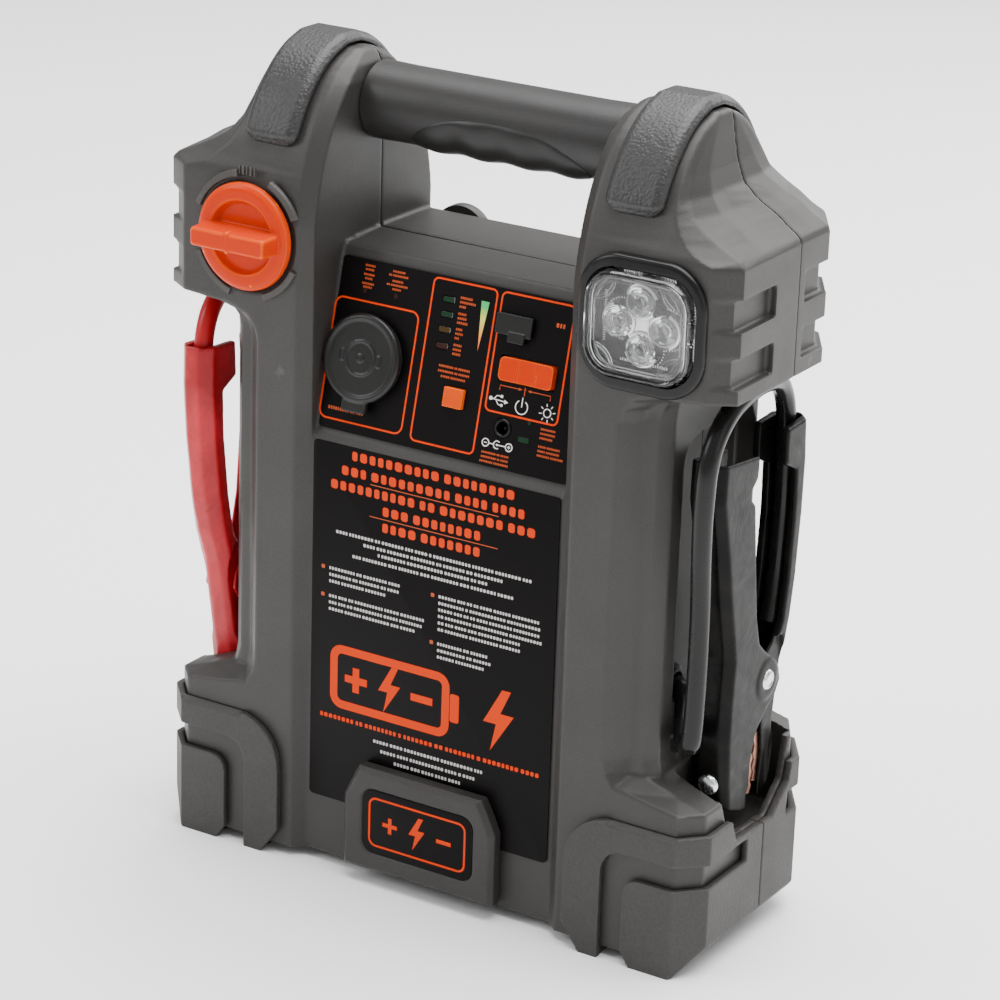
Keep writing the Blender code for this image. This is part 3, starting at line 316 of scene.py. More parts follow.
def metal(name, color, rough, brushed=0.0):
    n = Nodes(name)
    s = n.noise(420, 3, 0.6, 0.4)
    fine = n.noise(2200, 2)
    col = n.mix(n.noise(50, 4), tuple(c * 0.82 for c in color), color)
    n.set(Base_Color=col, Metallic=1.0, Roughness=n.ramp(s, ((0.3, rough - 0.05), (0.75, rough + 0.14))),
          Normal=n.bump(n.math("ADD", s, fine), 0.2 + brushed, 0.00004))
    return n.m


ZINC = metal("zinc", (0.78, 0.80, 0.80), 0.22)
STEEL_M = metal("steel", (0.60, 0.60, 0.59), 0.30)
COPPER_M = metal("copper", (0.62, 0.34, 0.25), 0.38)
BRASS_M = metal("brass", (0.74, 0.56, 0.28), 0.28)
TIN_M = metal("tin", (0.86, 0.86, 0.86), 0.16)


def clear_plastic(name, tint=(0.96, 0.97, 0.97), rough=0.03):
    """Moulded polycarbonate, faintly hazy."""
    n = Nodes(name)
    n.set(Base_Color=tint, Roughness=n.ramp(n.noise(80, 3), ((0.3, rough), (0.7, rough + 0.05))), IOR=1.46,
          Transmission_Weight=1.0, Specular_IOR_Level=0.5, Normal=n.bump(n.noise(160, 3), 0.05, 0.0002))
    return n.m


CLEAR_M = clear_plastic("clear_lens")


def silver():
    n = Nodes("reflector_silver")
    n.set(Base_Color=n.mix(n.noise(70, 3), (0.62, 0.61, 0.60), (0.80, 0.79, 0.78)), Metallic=0.80,
          Roughness=n.ramp(n.noise(90, 3), ((0.3, 0.18), (0.7, 0.34))))
    return n.m


SILVER_M = silver()


def frosted():
    n = Nodes("optic_frosted")
    n.set(Base_Color=n.mix(n.noise(150, 3), (0.80, 0.80, 0.79), (0.92, 0.92, 0.91)), Roughness=0.12, Transmission_Weight=0.72,
          IOR=1.45, Specular_IOR_Level=0.6)
    return n.m


FROST_M = frosted()
RIB_M = clear_plastic("lens_ribs", (0.98, 0.98, 0.98), 0.15)

# ------------------------------------------------------------- mesh helpers


def link(name, me, mat=None):
    ob = bpy.data.objects.new(name, me)
    bpy.context.scene.collection.objects.link(ob)
    if mat:
        me.materials.clear()
        me.materials.append(mat)
    return ob


def new_object(name, verts, faces, mat=None, weld=True):
    me = bpy.data.meshes.new(name)
    me.from_pydata([tuple(v) for v in verts], [], faces)
    bm = bmesh.new()
    bm.from_mesh(me)
    if weld:
        bmesh.ops.remove_doubles(bm, verts=bm.verts, dist=1e-4)
        bmesh.ops.dissolve_degenerate(bm, dist=1e-4, edges=bm.edges)
    bmesh.ops.recalc_face_normals(bm, faces=bm.faces)
    bm.to_mesh(me)
    bm.free()
    return link(name, me, mat)


def loft(name, rings, mat=None):
    n = len(rings[0])
    verts = [p for r in rings for p in r]
    faces = []
    for i in range(len(rings) - 1):
        for j in range(n):
            k = (j + 1) % n
            faces.append((i * n + j, i * n + k, (i + 1) * n + k, (i + 1) * n + j))
    faces.append(tuple(range(n)))
    faces.append(tuple((len(rings) - 1) * n + j for j in reversed(range(n))))
    return new_object(name, verts, faces, mat)


def prism(name, outline, axis, a, b, mat=None, sx=1):
    def place(u, v, w):
        p = (w, u, v) if axis == "x" else (u, w, v) if axis == "y" else (u, v, w)
        return (p[0] * sx, p[1], p[2])
    return loft(name, [[place(u, v, w) for u, v in outline] for w in (a, b)], mat)


def box(name, lo, hi, mat=None, sx=1):
    return prism(name, [(lo[0], lo[1]), (hi[0], lo[1]), (hi[0], hi[1]), (lo[0], hi[1])], "z", lo[2], hi[2], mat, sx)


def revolve(name, prof, centre, axis, seg, mat=None):
    ax_ = Vector(axis).normalized()
    ref = Vector((0, 0, 1)) if abs(ax_.z) < 0.9 else Vector((1, 0, 0))
    e1 = ax_.cross(ref).normalized()
    e2 = ax_.cross(e1)
    c = Vector(centre)
    verts, idx = [], []
    for r, h in prof:
        if r < 1e-6:
            idx.append([len(verts)] * seg)
            verts.append(c + ax_ * h)
        else:
            row = []
            for i in range(seg):
                t = 2 * math.pi * i / seg
                row.append(len(verts))
                verts.append(c + ax_ * h + e1 * (r * math.cos(t)) + e2 * (r * math.sin(t)))
            idx.append(row)
    pairs = list(zip(idx[:-1], idx[1:]))
    if not (prof[0][0] < 1e-6 and prof[-1][0] < 1e-6):
        pairs.append((idx[-1], idx[0]))
    faces = []
    for p, q in pairs:
        for i in range(seg):
            k = (i + 1) % seg
            f = []
            for v in (p[i], p[k], q[k], q[i]):
                if v not in f:
                    f.append(v)
            if len(f) > 2:
                faces.append(tuple(f))
    return new_object(name, verts, faces, mat)


def baked(ob):
    """Applies the object's modifiers."""
    bpy.context.view_layer.update()
    dg = bpy.context.evaluated_depsgraph_get()
    me = bpy.data.meshes.new_from_object(ob.evaluated_get(dg))
    ob.modifiers.clear()
    old = ob.data
    ob.data = me
    bpy.data.meshes.remove(old)
    return ob


def boolean(ob, other, op, solver="EXACT"):
    m = ob.modifiers.new("b", "BOOLEAN")
    m.operation = op
    m.object = other
    m.solver = solver
    baked(ob)
    bpy.data.objects.remove(other, do_unlink=True)
    return ob


def cut(ob, *others, solver="EXACT"):
    for o in others:
        boolean(ob, o, "DIFFERENCE", solver)
    return ob


def join(ob, *others, solver="EXACT"):
    for o in others:
        boolean(ob, o, "UNION", solver)
    return ob


def merge(ob, *others):
    """Puts closed meshes together in one mesh, as separate shells."""
    for o in others:
        bm = bmesh.new()
        bm.from_mesh(ob.data)
        bm.from_mesh(o.data)
        bm.to_mesh(ob.data)
        bm.free()
        bpy.data.objects.remove(o, do_unlink=True)
    return ob


def keep(ob, other, solver="EXACT"):
    return boolean(ob, other, "INTERSECT", solver)


def soften(ob, voxel, rounds, limit=None, factor=0.5):
    """Even moulded radii on every edge: resample finely, relax, then thin the flats."""
    m = ob.modifiers.new("r", "REMESH")
    m.mode = "VOXEL"
    m.voxel_size = voxel
    baked(ob)
    if rounds:
        m = ob.modifiers.new("s", "SMOOTH")
        m.factor = factor
        m.iterations = rounds
        baked(ob)
    if limit:
        n = len(ob.data.polygons) * 2
        if n > limit:
            m = ob.modifiers.new("d", "DECIMATE")
            m.ratio = limit / n
            baked(ob)
    return ob


def bevelled(ob, width, seg=3, angle=30):
    m = ob.modifiers.new("v", "BEVEL")
    m.width = width
    m.segments = seg
    m.limit_method = "ANGLE"
    m.angle_limit = math.radians(angle)
    m.use_clamp_overlap = True
    m.harden_normals = False
    return baked(ob)


def finish(ob, mat, body, *nodes, slot=None, smooth=True, angle=None):
    """Scales from millimetres, shades, and hangs the piece on its body."""
    ob.data.transform(Matrix.Translation((0, Y_SHIFT * MM, 0)) @ Matrix.Scale(MM, 4))
    ob.data.materials.clear()
    for m in (mat if isinstance(mat, (list, tuple)) else [mat]):
        ob.data.materials.append(m)
    if smooth:
        ob.data.shade_smooth()
        if angle:
            ob.data.set_sharp_from_angle(angle=math.radians(angle))
    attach(ob, body)
    if nodes:
        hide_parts(*nodes)
    return ob


def round_rect(cx, cy, w, h, r, n=4):
    pts = []
    for sx_, sy_, a0 in ((1, 1, 0), (-1, 1, 90), (-1, -1, 180), (1, -1, 270)):
        for i in range(n + 1):
            t = math.radians(a0 + 90 * i / n)
            pts.append((cx + sx_ * (w / 2 - r) + r * math.cos(t), cy + sy_ * (h / 2 - r) + r * math.sin(t)))
    return pts


def circle(cx, cy, r, n=48):
    return [(cx + r * math.cos(2 * math.pi * i / n), cy + r * math.sin(2 * math.pi * i / n)) for i in range(n)]


_pv = Vector((0, PANEL_HEAD[0] - PANEL_FOOT[0], PANEL_HEAD[1] - PANEL_FOOT[1])).normalized()
_pn = Vector((0, -_pv.z, _pv.y))


def on_panel(u, v, n):
    return tuple(Vector((u, PANEL_FOOT[0], PANEL_FOOT[1])) + _pv * v + _pn * n)


def on_front(u, v, n):
    return (u, -BODY_FRONT - n, v)


def panel_prism(name, outline, n0, n1, mat=None):
    return loft(name, [[on_panel(u, v, n) for u, v in outline] for n in (n0, n1)], mat)


def panel_revolve(name, prof, u, v, seg, mat=None):
    return revolve(name, prof, on_panel(u, v, 0), _pn, seg, mat)


# side outlines (y, z) of the two sheet halves of the clamp on the lamp side
FREE_HALF = [(-31.3, 208.0), (-31.9, 192), (-26.3, 169.5), (-22.0, 148.6), (-18.6, 134.9), (-16.2, 123.6), (-17.2, 107),
             (-17.6, 90), (-16.2, 71), (-14.3, 60.3), (-2.9, 55.2), (3.4, 54.2), (2.6, 61.5), (4.3, 64), (4.5, 74), (7.4, 85.1),
             (14.8, 92.5), (23.0, 98.0), (26.0, 103.0), (24.5, 109), (19.5, 114.0), (12.0, 119.5), (6.8, 124.2), (3.1, 136.4),
             (-0.5, 161.5), (-3.6, 185), (-7.0, 188), (-7.0, 191.8), (-2.6, 195.9), (-2.3, 204.5)]
CABLE_HALF = [(39.5, 210), (41.0, 193.4), (40.6, 171), (38.2, 144.8), (34.6, 127.8), (30.4, 115.0), (27.0, 92), (23.6, 62.2),
              (19.5, 55.5), (15.6, 54.8), (15.6, 60), (17.0, 74), (15.0, 88), (9.0, 96.0), (7.2, 106), (12.0, 113.5),
              (20.5, 119.5), (25.2, 128), (27.8, 145), (29.6, 171), (29.2, 190), (20.0, 194.5), (20.0, 209)]
WIRE_PTS = [(80.0, -11.2, 106.3), (86.0, -11.2, 106.3), (92.0, -11.2, 106.3), (97.4, -11.4, 106.0), (100.8, -14.6, 103.0),
            (104.1, -20.4, 97.5), (107.6, -26.0, 91.6), (110.8, -29.6, 89.2), (113.2, -31.0, 93.0), (114.0, -31.0, 102.0),
            (114.1, -30.6, 115.0), (114.2, -30.4, 132.0), (114.8, -31.9, 152.0), (116.4, -36.3, 175.0),
            (117.8, -38.8, 196.0), (118.6, -37.0, 214.0), (118.8, -26.0, 226.2), (118.2, -9.0, 230.8), (116.6, 9.0, 230.4),
            (115.0, 22.5, 226.0), (114.1, 30.0, 216.5), (113.85, 32.6, 204.0), (113.85, 33.9, 188.0), (113.85, 33.7, 168.0),
            (113.85, 32.0, 146.0), (113.85, 29.2, 131.5), (113.85, 27.4, 125.5)]


def stowed(side):
    """Placement of a clamp: the red one is the same clamp turned half round."""
    if side > 0:
        return Matrix.Identity(4)
    pivot = Vector((-(CLAMP_X[0] + CLAMP_X[1]) / 2, -PIVOT_YZ[0], 60.0))
    turn = Matrix.Rotation(math.pi, 4, "Z")
    lean = Matrix.Translation(pivot) @ Matrix.Rotation(-CLAMP_LEAN, 4, "Y") @ Matrix.Translation(-pivot)
    return lean @ turn


def move_verts(ob, mat4):
    t = mat4.copy()
    t.translation = t.translation * MM
    ob.data.transform(t)
    ob.data.update()
    return ob



def smooth_route(pts, step):
    """Even points along a Catmull-Rom curve through the route's own points."""
    P = [Vector(p) for p in pts]
    dense = []
    for i in range(len(P) - 1):
        p0 = P[i - 1] if i else P[0] * 2 - P[1]
        p1, p2 = P[i], P[i + 1]
        p3 = P[i + 2] if i + 2 < len(P) else P[-1] * 2 - P[-2]
        for k in range(24):
            t = k / 24
            dense.append(0.5 * ((2 * p1) + (p2 - p0) * t + (2 * p0 - 5 * p1 + 4 * p2 - p3) * t * t +
                                (3 * p1 - 3 * p2 + p3 - p0) * t ** 3))
    dense.append(P[-1])
    length = sum((b - a).length for a, b in zip(dense, dense[1:]))
    n = max(2, round(length / step))
    out, want, run = [dense[0]], length / n, 0.0
    for a, b in zip(dense, dense[1:]):
        d = (b - a).length
        while run + d >= want - 1e-9 and len(out) < n:
            out.append(a.lerp(b, (want - run) / d))
            want += length / n
        run += d
    out.append(dense[-1])
    return out, length



# -------------------------------------------------------------------- cables


def cable(name, side, mat):
    m = stowed(side)
    start = [Vector(p) if side > 0 else Matrix.Rotation(math.pi, 4, "Z") @ Vector(p) for p in WIRE_PTS]
    n = len(start)
    pts = []
    for i, p in enumerate(start):
        w = min(1.0, i / (n - 5.0))
        pts.append(p.lerp(m @ Vector(WIRE_PTS[i]), w))
    route, length = smooth_route(pts[1:], 9.0)
    cu = bpy.data.curves.new("vis_" + name, "CURVE")
    cu.dimensions = "3D"
    sp = cu.splines.new("POLY")
    fine, _ = smooth_route([tuple(p) for p in route], 2.2)
    sp.points.add(len(fine) - 1)
    for q, p in zip(sp.points, fine):
        q.co = (p.x * MM, (p.y + Y_SHIFT) * MM, p.z * MM, 1)
    cu.bevel_depth = CABLE_R * MM
    cu.bevel_resolution = 7
    cu.use_fill_caps = True
    ob = bpy.data.objects.new("vis_" + name, cu)
    cu.materials.append(mat)
    bpy.context.scene.collection.objects.link(ob)
    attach(ob, "housing")
    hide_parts(name)
    return ob


cable("black_cable", 1, CABLE_BLACK)
cable("red_cable", -1, CABLE_RED)

# ------------------------------------------------------------------- housing
def arch(z):
    if z <= 271:
        return FRONT
    t = (z - ARCH_Z) / ARCH_B
    return ARCH_A * math.sqrt(max(0.0, 1 - t * t))


def section(z, front, rear, af=None, ar=None, inner=COL_IN):
    """Plan outline of one column at height z, 14 points."""
    f2, f3, f4, f5 = front
    r5, r4, r3, r2 = rear
    a = arch(z)
    af = a if af is None else af
    ar = a if ar is None else ar
    return [(inner, -(af - 4.6)), (COL_EDGE + max(0, inner - COL_IN) * 0.2, -af), f2, f3, f4, f5,
            (f5[0], f5[1] * 0.6), (r5[0], r5[1] * 0.6),
            r5, r4, r3, r2, (COL_EDGE + max(0, inner - COL_IN) * 0.2, ar), (inner, ar - 4.6)]


BASE_F = ((92, -46), (117.3, -46), (125.5, -37.5), (125.5, -19.5))
BASE_R = ((125.5, 31), (117.3, 45), (112, 46), (92, 46))
BAY_F = ((83, -46), (90.4, -38.5), (96, -38), (BAY_X, -33))
BAY_R = ((BAY_X, 33), (98, 38), (92, 44), (86, 46))
SH_F = ((100, -46), (119.3, -46), (SHOULDER_X, -39.2), (SHOULDER_X, -24))
SH_R = ((SHOULDER_X, 28), (119.3, 45), (114, 46), (100, 46))


def mirror_front(front):
    return tuple((x, -y) for x, y in reversed(front))


ARCH_ROWS = [
    (308, ((94.5, -35.6), (98.2, -35), (101, -31.5), (104, -20))),
    (316, ((94.3, -30.6), (97.4, -29.5), (99.3, -26), (101, -17))),
    (324, ((94.0, -23.8), (97.0, -22.5), (98.5, -19), (99.5, -12))),
    (330, ((94.0, -16.4), (96.8, -15), (98.0, -12), (98.6, -8))),
]
COLUMN = [
    (4, section(4, ((92, -46), (112, -46), (117, -38), (117, -24)),
                ((117, 24), (111, 34), (106, 38), (92, 40)), 46, 40)),
    (14, section(14, BASE_F, ((123, 28), (116, 39), (110, 42), (92, 43)), 46, 43)),
    (25, section(25, BASE_F, BASE_R)),
    (68.3, section(68.3, BASE_F, BASE_R)),
    (72.6, section(72.6, ((88, -46), (91.2, -46), (112, -38), (113.5, -25)), BASE_R)),
    (77.5, section(77.5, ((84.5, -46), (92, -39), (98, -38), (102, -33)), BASE_R)),
    (84, section(84, BAY_F, BAY_R)),
    (222, section(222, BAY_F, BAY_R)),
    (226.5, section(226.5, ((84.3, -46), (91.5, -38.8), (97, -38), (101.5, -33)), BAY_R)),
    (231.5, section(231.5, ((88, -46), (97, -40), (101, -38.5), (102.5, -33)), BAY_R)),
    (234.3, section(234.3, ((95, -46), (106, -43), (107, -39), (104, -33)), BAY_R)),
    (236, section(236, SH_F, SH_R)),
    (271, section(271, SH_F, SH_R)),
    (280, section(280, ((100, -45.9), (119.3, -46), (SHOULDER_X, -39.2), (SHOULDER_X, -24)),
                  ((SHOULDER_X, 28), (119.3, 45), (114, 46), (100, 45.9)))),
    (288.3, section(288.3, ((100, -45.2), (119.3, -46), (SHOULDER_X, -39.2), (SHOULDER_X, -24)),
                    ((SHOULDER_X, 28), (119.3, 45), (114, 46), (100, 45.2)))),
    (290.5, section(290.5, ((98, -44.3), (112, -45.3), (127.5, -38.5), (128.3, -24)),
                    ((128.8, 27.5), (118.5, 44.5), (112, 45.5), (98, 45)))),
    (294, section(294, ((96.5, -42.3), (106, -43), (119, -37.5), (123, -24)),
                  ((124, 26), (114, 42), (108, 43), (96.5, 42.5)))),
    (298, section(298, ((95.5, -40.5), (102, -41), (111, -36.5), (117, -23)),
                  ((119, 25), (110, 40), (104, 41), (96, 40.6)))),
    (302, section(302, ((95, -38.8), (99.8, -38.8), (105, -35), (109, -22)),
                  ((112, 23), (106, 36.5), (102, 38.5), (95, 38.8)))),
] + [(z, section(z, f, mirror_front(f), inner=COL_IN + max(0, z - 326) * 0.3)) for z, f in ARCH_ROWS] + [
    (334, section(334, ((93.8, -7.4), (96.3, -6.6), (97.3, -5.4), (97.6, -3.5)),
                  ((97.6, 3.5), (97.3, 5.4), (96.3, 6.6), (93.8, 7.4)), inner=62.6)),
    (335, section(335, ((93.6, -4.8), (95.8, -4.6), (96.8, -3.9), (97.0, -2.5)),
                  ((97.0, 2.5), (96.8, 3.9), (95.8, 4.6), (93.6, 4.8)), 5.0, 5.0, inner=64.2)),
]





def dense_rings():
    out = []
    for (z0, r0), (z1, r1) in zip(COLUMN, COLUMN[1:]):
        out.append((z0, r0))
        if z0 >= 270.9 and z1 - z0 > 1.5:
            k = max(1, int(round((z1 - z0) / 2.5)))
            for i in range(1, k):
                t = i / k
                z = z0 + (z1 - z0) * t
                ring = [(a[0] + (b[0] - a[0]) * t, a[1] + (b[1] - a[1]) * t) for a, b in zip(r0, r1)]
                if z0 < 330.9:
                    # the inner faces follow the arch's own curve between the given sections
                    s0, s1, s = arch(z0), arch(z1), arch(z)
                    lin = s0 + (s1 - s0) * t
                    d = s - lin
                    ring = [(x, y + math.copysign(d, y) * min(1.0, abs(y) / max(lin, 1e-6))) for x, y in ring]
                out.append((z, ring))
    out.append(COLUMN[-1])
    return out


def column(sx):
    rings = [[(x * sx, y, z) for x, y in pts] for z, pts in dense_rings()]
    return loft("column", rings)


def arch_profile(offset, zs):
    pts = []
    for z in zs:
        a = arch(z) if z < 334.9 else 5.0
        ny = a / (ARCH_A ** 2)
        nz = (z - ARCH_Z) / (ARCH_B ** 2)
        ln = math.hypot(ny, nz)
        pts.append((-(a + offset * ny / ln), z + offset * nz / ln))
    return pts


CENTRE_YZ = [(-BODY_FRONT, Z_BOTTOM), (-BODY_FRONT, 184.5), PANEL_FOOT, PANEL_HEAD, (-20.5, 260.6),
             (5, BODY_TOP), (40, BODY_TOP), (BODY_REAR, 259), (BODY_REAR, Z_BOTTOM)]
CORE_YZ = [(-38.5, 7.5), (-38.5, 182.5), (-35.5, 187.6), (-18.6, 256.4), (5, 259), (38, 259),
           (BODY_REAR - 3, 257), (BODY_REAR - 3, 7.5)]


NOTCH_YZ = [(-25, 100), (-25, 69.3), (-17.5, 51), (12, 49.5), (25, 60.5), (29, 78.5), (29, 100)]
RECESS_YZ = [(-24.5, 86), (-22, 82), (28, 82), (32, 86), (32, 205), (28, 213), (-12.5, 213),
             (-18.5, 211.4), (-22.9, 207), (-24.5, 201)]



def housing_solid():
    body = loft("body", [[(x, y, z) for y, z in CENTRE_YZ] for x in (-61.5, 61.5)])
    join(body, column(1), column(-1))
    for s in (1, -1):
        cut(body,
            box("pocket", (POCKET_X[0], POCKET_Y[0], POCKET_Z), (POCKET_X[1], POCKET_Y[1], 96), sx=s),
            prism("recess", RECESS_YZ, "x", BAY_FLOOR, 140, sx=s),
            prism("notch", NOTCH_YZ, "x", 118, 140, sx=s))
        for z0, z1 in ((264, 276.3), (242, 254)):
            cut(body,
                prism("groove", [(118.6, -46.6), (126.4, -40), (126.4, -13), (134, -13), (134, -46.6)],
                      "z", z0, z1, sx=s),
                prism("groove", [(126.4, 10), (134, 10), (134, 50), (117, 50), (116, 45.2), (126.4, 27)],
                      "z", z0, z1, sx=s))
        # cable outlets
        cut(body, revolve("hole", [(0, -8), (7.1, -8), (7.1, 8), (0, 8)], (s * 91, -11.2 * s, 106.3), (s, 0, 0), 32))
    cut(body, revolve("dish", [(0, -1.2), (KNOB_R + 0.8, -1.2), (KNOB_R + 1.4, 2), (0, 2)],
                      (KNOB_XZ[0], -46, KNOB_XZ[1]), (0, -1, 0), 96))
    # moulded step lines on the top of the centre body
    cut(body, box("line", (-59, 4.2, 261.2), (59, 5.8, 264)))
    # mounting screw wells in the back
    for x, z in ((-50, 30), (50, 30), (-50, 130), (50, 130), (-78, 66), (78, 66), (-78, 232), (78, 232)):
        cut(body, revolve("well", [(0, -9), (3.6, -9), (3.6, 6), (0, 6)], (x, BODY_REAR if abs(x) < 60 else 45.9, z), (0, 1, 0), 32))
    return body


def arc_rib(r0, r1, a0, a1, h, n=26):
    """Raised arc on the shoulder face round the knob."""
    def ring(ra, rb, y):
        out = [(KNOB_XZ[0] + rb * math.cos(math.radians(a0 + (a1 - a0) * i / n)), y, KNOB_XZ[1] + rb * math.sin(math.radians(a0 + (a1 - a0) * i / n)))
               for i in range(n + 1)]
        return out + [(KNOB_XZ[0] + ra * math.cos(math.radians(a1 - (a1 - a0) * i / n)), y, KNOB_XZ[1] + ra * math.sin(math.radians(a1 - (a1 - a0) * i / n)))
                      for i in range(n + 1)]
    return loft("rib", [ring(r0, r1, -45.6), ring(r0, r1, -46.0 - h * 0.6), ring(r0 + 0.35, r1 - 0.35, -46.0 - h)])


body = housing_solid()
VOX = 0.80
halves = []
for nm, lo, hi in (("vis_front_shell", -80, SEAM_Y - SEAM), ("vis_rear_shell", SEAM_Y + SEAM, 80)):
    h = link(nm, body.data.copy())
    keep(h, box("half", (-150, lo, -10), (150, hi, 360)))
    soften(h, VOX, 1, 330000)
    halves.append(h)
bpy.data.objects.remove(body, do_unlink=True)
front_half, rear_half = halves


CORE_PLAN = [(65.6, -42.7), (81.6, -42.7), (88.5, -35.7), (89, -34.8), (89, 38.5), (88, 40.2), (84.5, 42.6), (66, 42.6)]


def side_cores(s):
    """The hollow spaces inside one column, its arch, shoulder and base."""
    prof = arch_profile(-3.8, (284, 296, 306, 316, 324, 330.5))
    arch_core = [(-42.3, 246)] + prof + [(-y, z) for y, z in reversed(prof)] + [(42.3, 246)]
    low = [(50, -38.2), (60.8, -38.2)] + CORE_PLAN[:4] + [(89, 37.5), (50, 37.5)]
    return [prism("core", low, "z", 7.5, 22.5, sx=s),
            prism("core", [(50, -38.2), (60.8, -38.2)] + CORE_PLAN + [(62.5, 40), (50, 40)], "z", 22, 182.2, sx=s),
            prism("core", [(62.3, -39.8)] + CORE_PLAN + [(62.3, 40)], "z", 182, 255.5, sx=s),
            box("core", (55, -12, 176), (70, 38.5, 245), sx=s),
            prism("core", arch_core, "x", 62.3, 93.0, sx=s),
            prism("core", [(80, -42.1), (114.5, -42.1), (123, -35), (123, 25), (114, 41.5), (80, 42.1)],
                  "z", 239.2, 285, sx=s),
            box("core", (80, -42.1, 14), (112, 36, 40.5), sx=s)]



def core():
    c = loft("core", [[(x, y, z) for y, z in CORE_YZ] for x in (-60, 60)])
    for s in (1, -1):
        join(c, *side_cores(s))
        join(c, revolve("hole", [(0, -3), (9.4, -3), (9.4, 8), (0, 8)],
                        (s * 57, HANDLE_YZ[0], HANDLE_YZ[1]), (s, 0, 0), 40))
    return c


CAP_UV = (-40.4, 31.7)
BARS_V = (61.5, 55.6, 49.6, 43.2)
BTN_UV = (2.7, 24.3)
USB_UV = (25.0, 56.6)
ROCK_UV = (33.4, 40.0)
JACK_UV = (26.1, 17.0)
SWITCH_XZ = (0.0, 225.0)
CUTS = [circle(CAP_UV[0], CAP_UV[1], 13.2, 64),
        round_rect(BTN_UV[0], BTN_UV[1], 9.4, 8.4, 0.6, 3),
        round_rect(USB_UV[0], USB_UV[1], 14.6, 7.0, 0.6, 3),
        round_rect(ROCK_UV[0], ROCK_UV[1], 25.4, 10.4, 0.5, 3),
        circle(JACK_UV[0], JACK_UV[1], 4.1, 32)]
CUTS += [round_rect(-6.5, v, 5.8, 2.8, 0.4, 2) for v in BARS_V]

tool = core()
tool2 = link("core2", tool.data.copy())
cut(front_half, tool)
cut(rear_half, tool2)
for c_ in CUTS:
    cut(front_half, panel_prism("hole", c_, -12, 6))
cut(front_half, revolve("hole", [(0, -10), (6.5, -10), (6.5, 10), (0, 10)], (KNOB_XZ[0], -46, KNOB_XZ[1]), (0, -1, 0), 40),
    prism("hole", round_rect(LAMP_XZ[0], LAMP_XZ[1], LAMP_W + 1.2, LAMP_H + 1.2, 12, 8), "y", -60, -40))
cut(rear_half, revolve("hole", [(0, -12), (7.9, -12), (7.9, 12), (0, 12)], (GAUGE_XZ[0], 43, GAUGE_XZ[1]), (0, 1, 0), 40),
    prism("hole", round_rect(SWITCH_XZ[0], SWITCH_XZ[1], 20.6, 12.6, 1.5, 4), "y", 30, 60),
    revolve("hole", [(0, -12), (5.4, -12), (5.4, 12), (0, 12)], (40, 43, 205), (0, 1, 0), 32))
finish(front_half, HOUSING, "housing", "front_shell", slot="housing", angle=38)
finish(rear_half, HOUSING, "housing", "rear_shell", slot="housing", angle=38)

ribs = None
for a0, a1 in ((24, 64), (100, 158), (203, 252), (290, 334)):
    r_ = arc_rib(23.6, 26.7, a0, a1, 1.3)
    ribs = r_ if ribs is None else merge(ribs, r_)
for i, w in enumerate((0.5, 0.9, 0.5, 0.9, 0.5)):
    x = KNOB_XZ[0] - 3.6 + i * 1.8
    merge(ribs, box("tick", (x - w / 2, -46.5, KNOB_XZ[1] + 24.6), (x + w / 2, -45.6, KNOB_XZ[1] + 28.0)))
ribs.name = "vis_knob_ridges"
finish(ribs, HOUSING, "housing", slot="housing", angle=35)

# ------------------------------------------------------------------- handle
prof = [(0, -67), (9.0, -67), (9.0, -58.7), (15.3, -58.7), (15.7, -58.3), (15.75, -55), (15.45, -44), (15.4, 0), (15.45, 44), (15.75, 55),
        (15.7, 58.3), (15.3, 58.7), (9.0, 58.7), (9.0, 67), (0, 67)]
bar = revolve("vis_handle_bar", prof, (0, HANDLE_YZ[0], HANDLE_YZ[1]), (1, 0, 0), 128)
finish(bar, HANDLE_M, "housing", "handle_bar", slot="handle", angle=32)

# finger grip let into the lower front of the bar: four swellings, leaf-shaped outline
gv, gf = [], []
NU, NW = 96, 40
rows = []
for i in range(NU + 1):
    u = -1 + 2 * i / NU
    half = math.radians(60) * (max(0.0, 1 - abs(u) ** 2.4)) ** 0.62
    row = []
    for j in range(NW + 1):
        w = -1 + 2 * j / NW
        edge = max(0.0, (1 - abs(w) ** 4) * (1 - abs(u) ** 10))
        waves = 0.5 + 0.5 * math.cos(2 * math.pi * (u * 2.0 + 0.5))
        r = 15.42 + 0.5 * edge ** 0.3 + (1.25 * waves + 0.25) * max(0, edge) * (0.55 + 0.45 * max(0.0, w))
        t = math.radians(-128) + half * w
        row.append((3.5 + 41 * u, HANDLE_YZ[0] + r * math.cos(t) * 1.0, HANDLE_YZ[1] + r * math.sin(t)))
    rows.append(row)
inner = [[(p[0], HANDLE_YZ[0] + (p[1] - HANDLE_YZ[0]) * 14.6 / max(1e-6, math.hypot(p[1] - HANDLE_YZ[0], p[2] - HANDLE_YZ[1])),
           HANDLE_YZ[1] + (p[2] - HANDLE_YZ[1]) * 14.6 / max(1e-6, math.hypot(p[1] - HANDLE_YZ[0], p[2] - HANDLE_YZ[1]))) for p in row] for row in rows]
rings = [row + list(reversed(inn)) for row, inn in zip(rows, inner)]
grip = loft("vis_handle_grip", rings)
finish(grip, TRIM, "housing", "handle_grip", slot="handle", angle=50)

# --------------------------------------------------------------------- pads


def pad_path(off):
    zs = [300.5 + i * 1.08 for i in range(31)]
    half = arch_profile(off, zs) + [(-(4 + off * 0.2), 335 + off)]
    return half + [(-y, z) for y, z in reversed(half)]


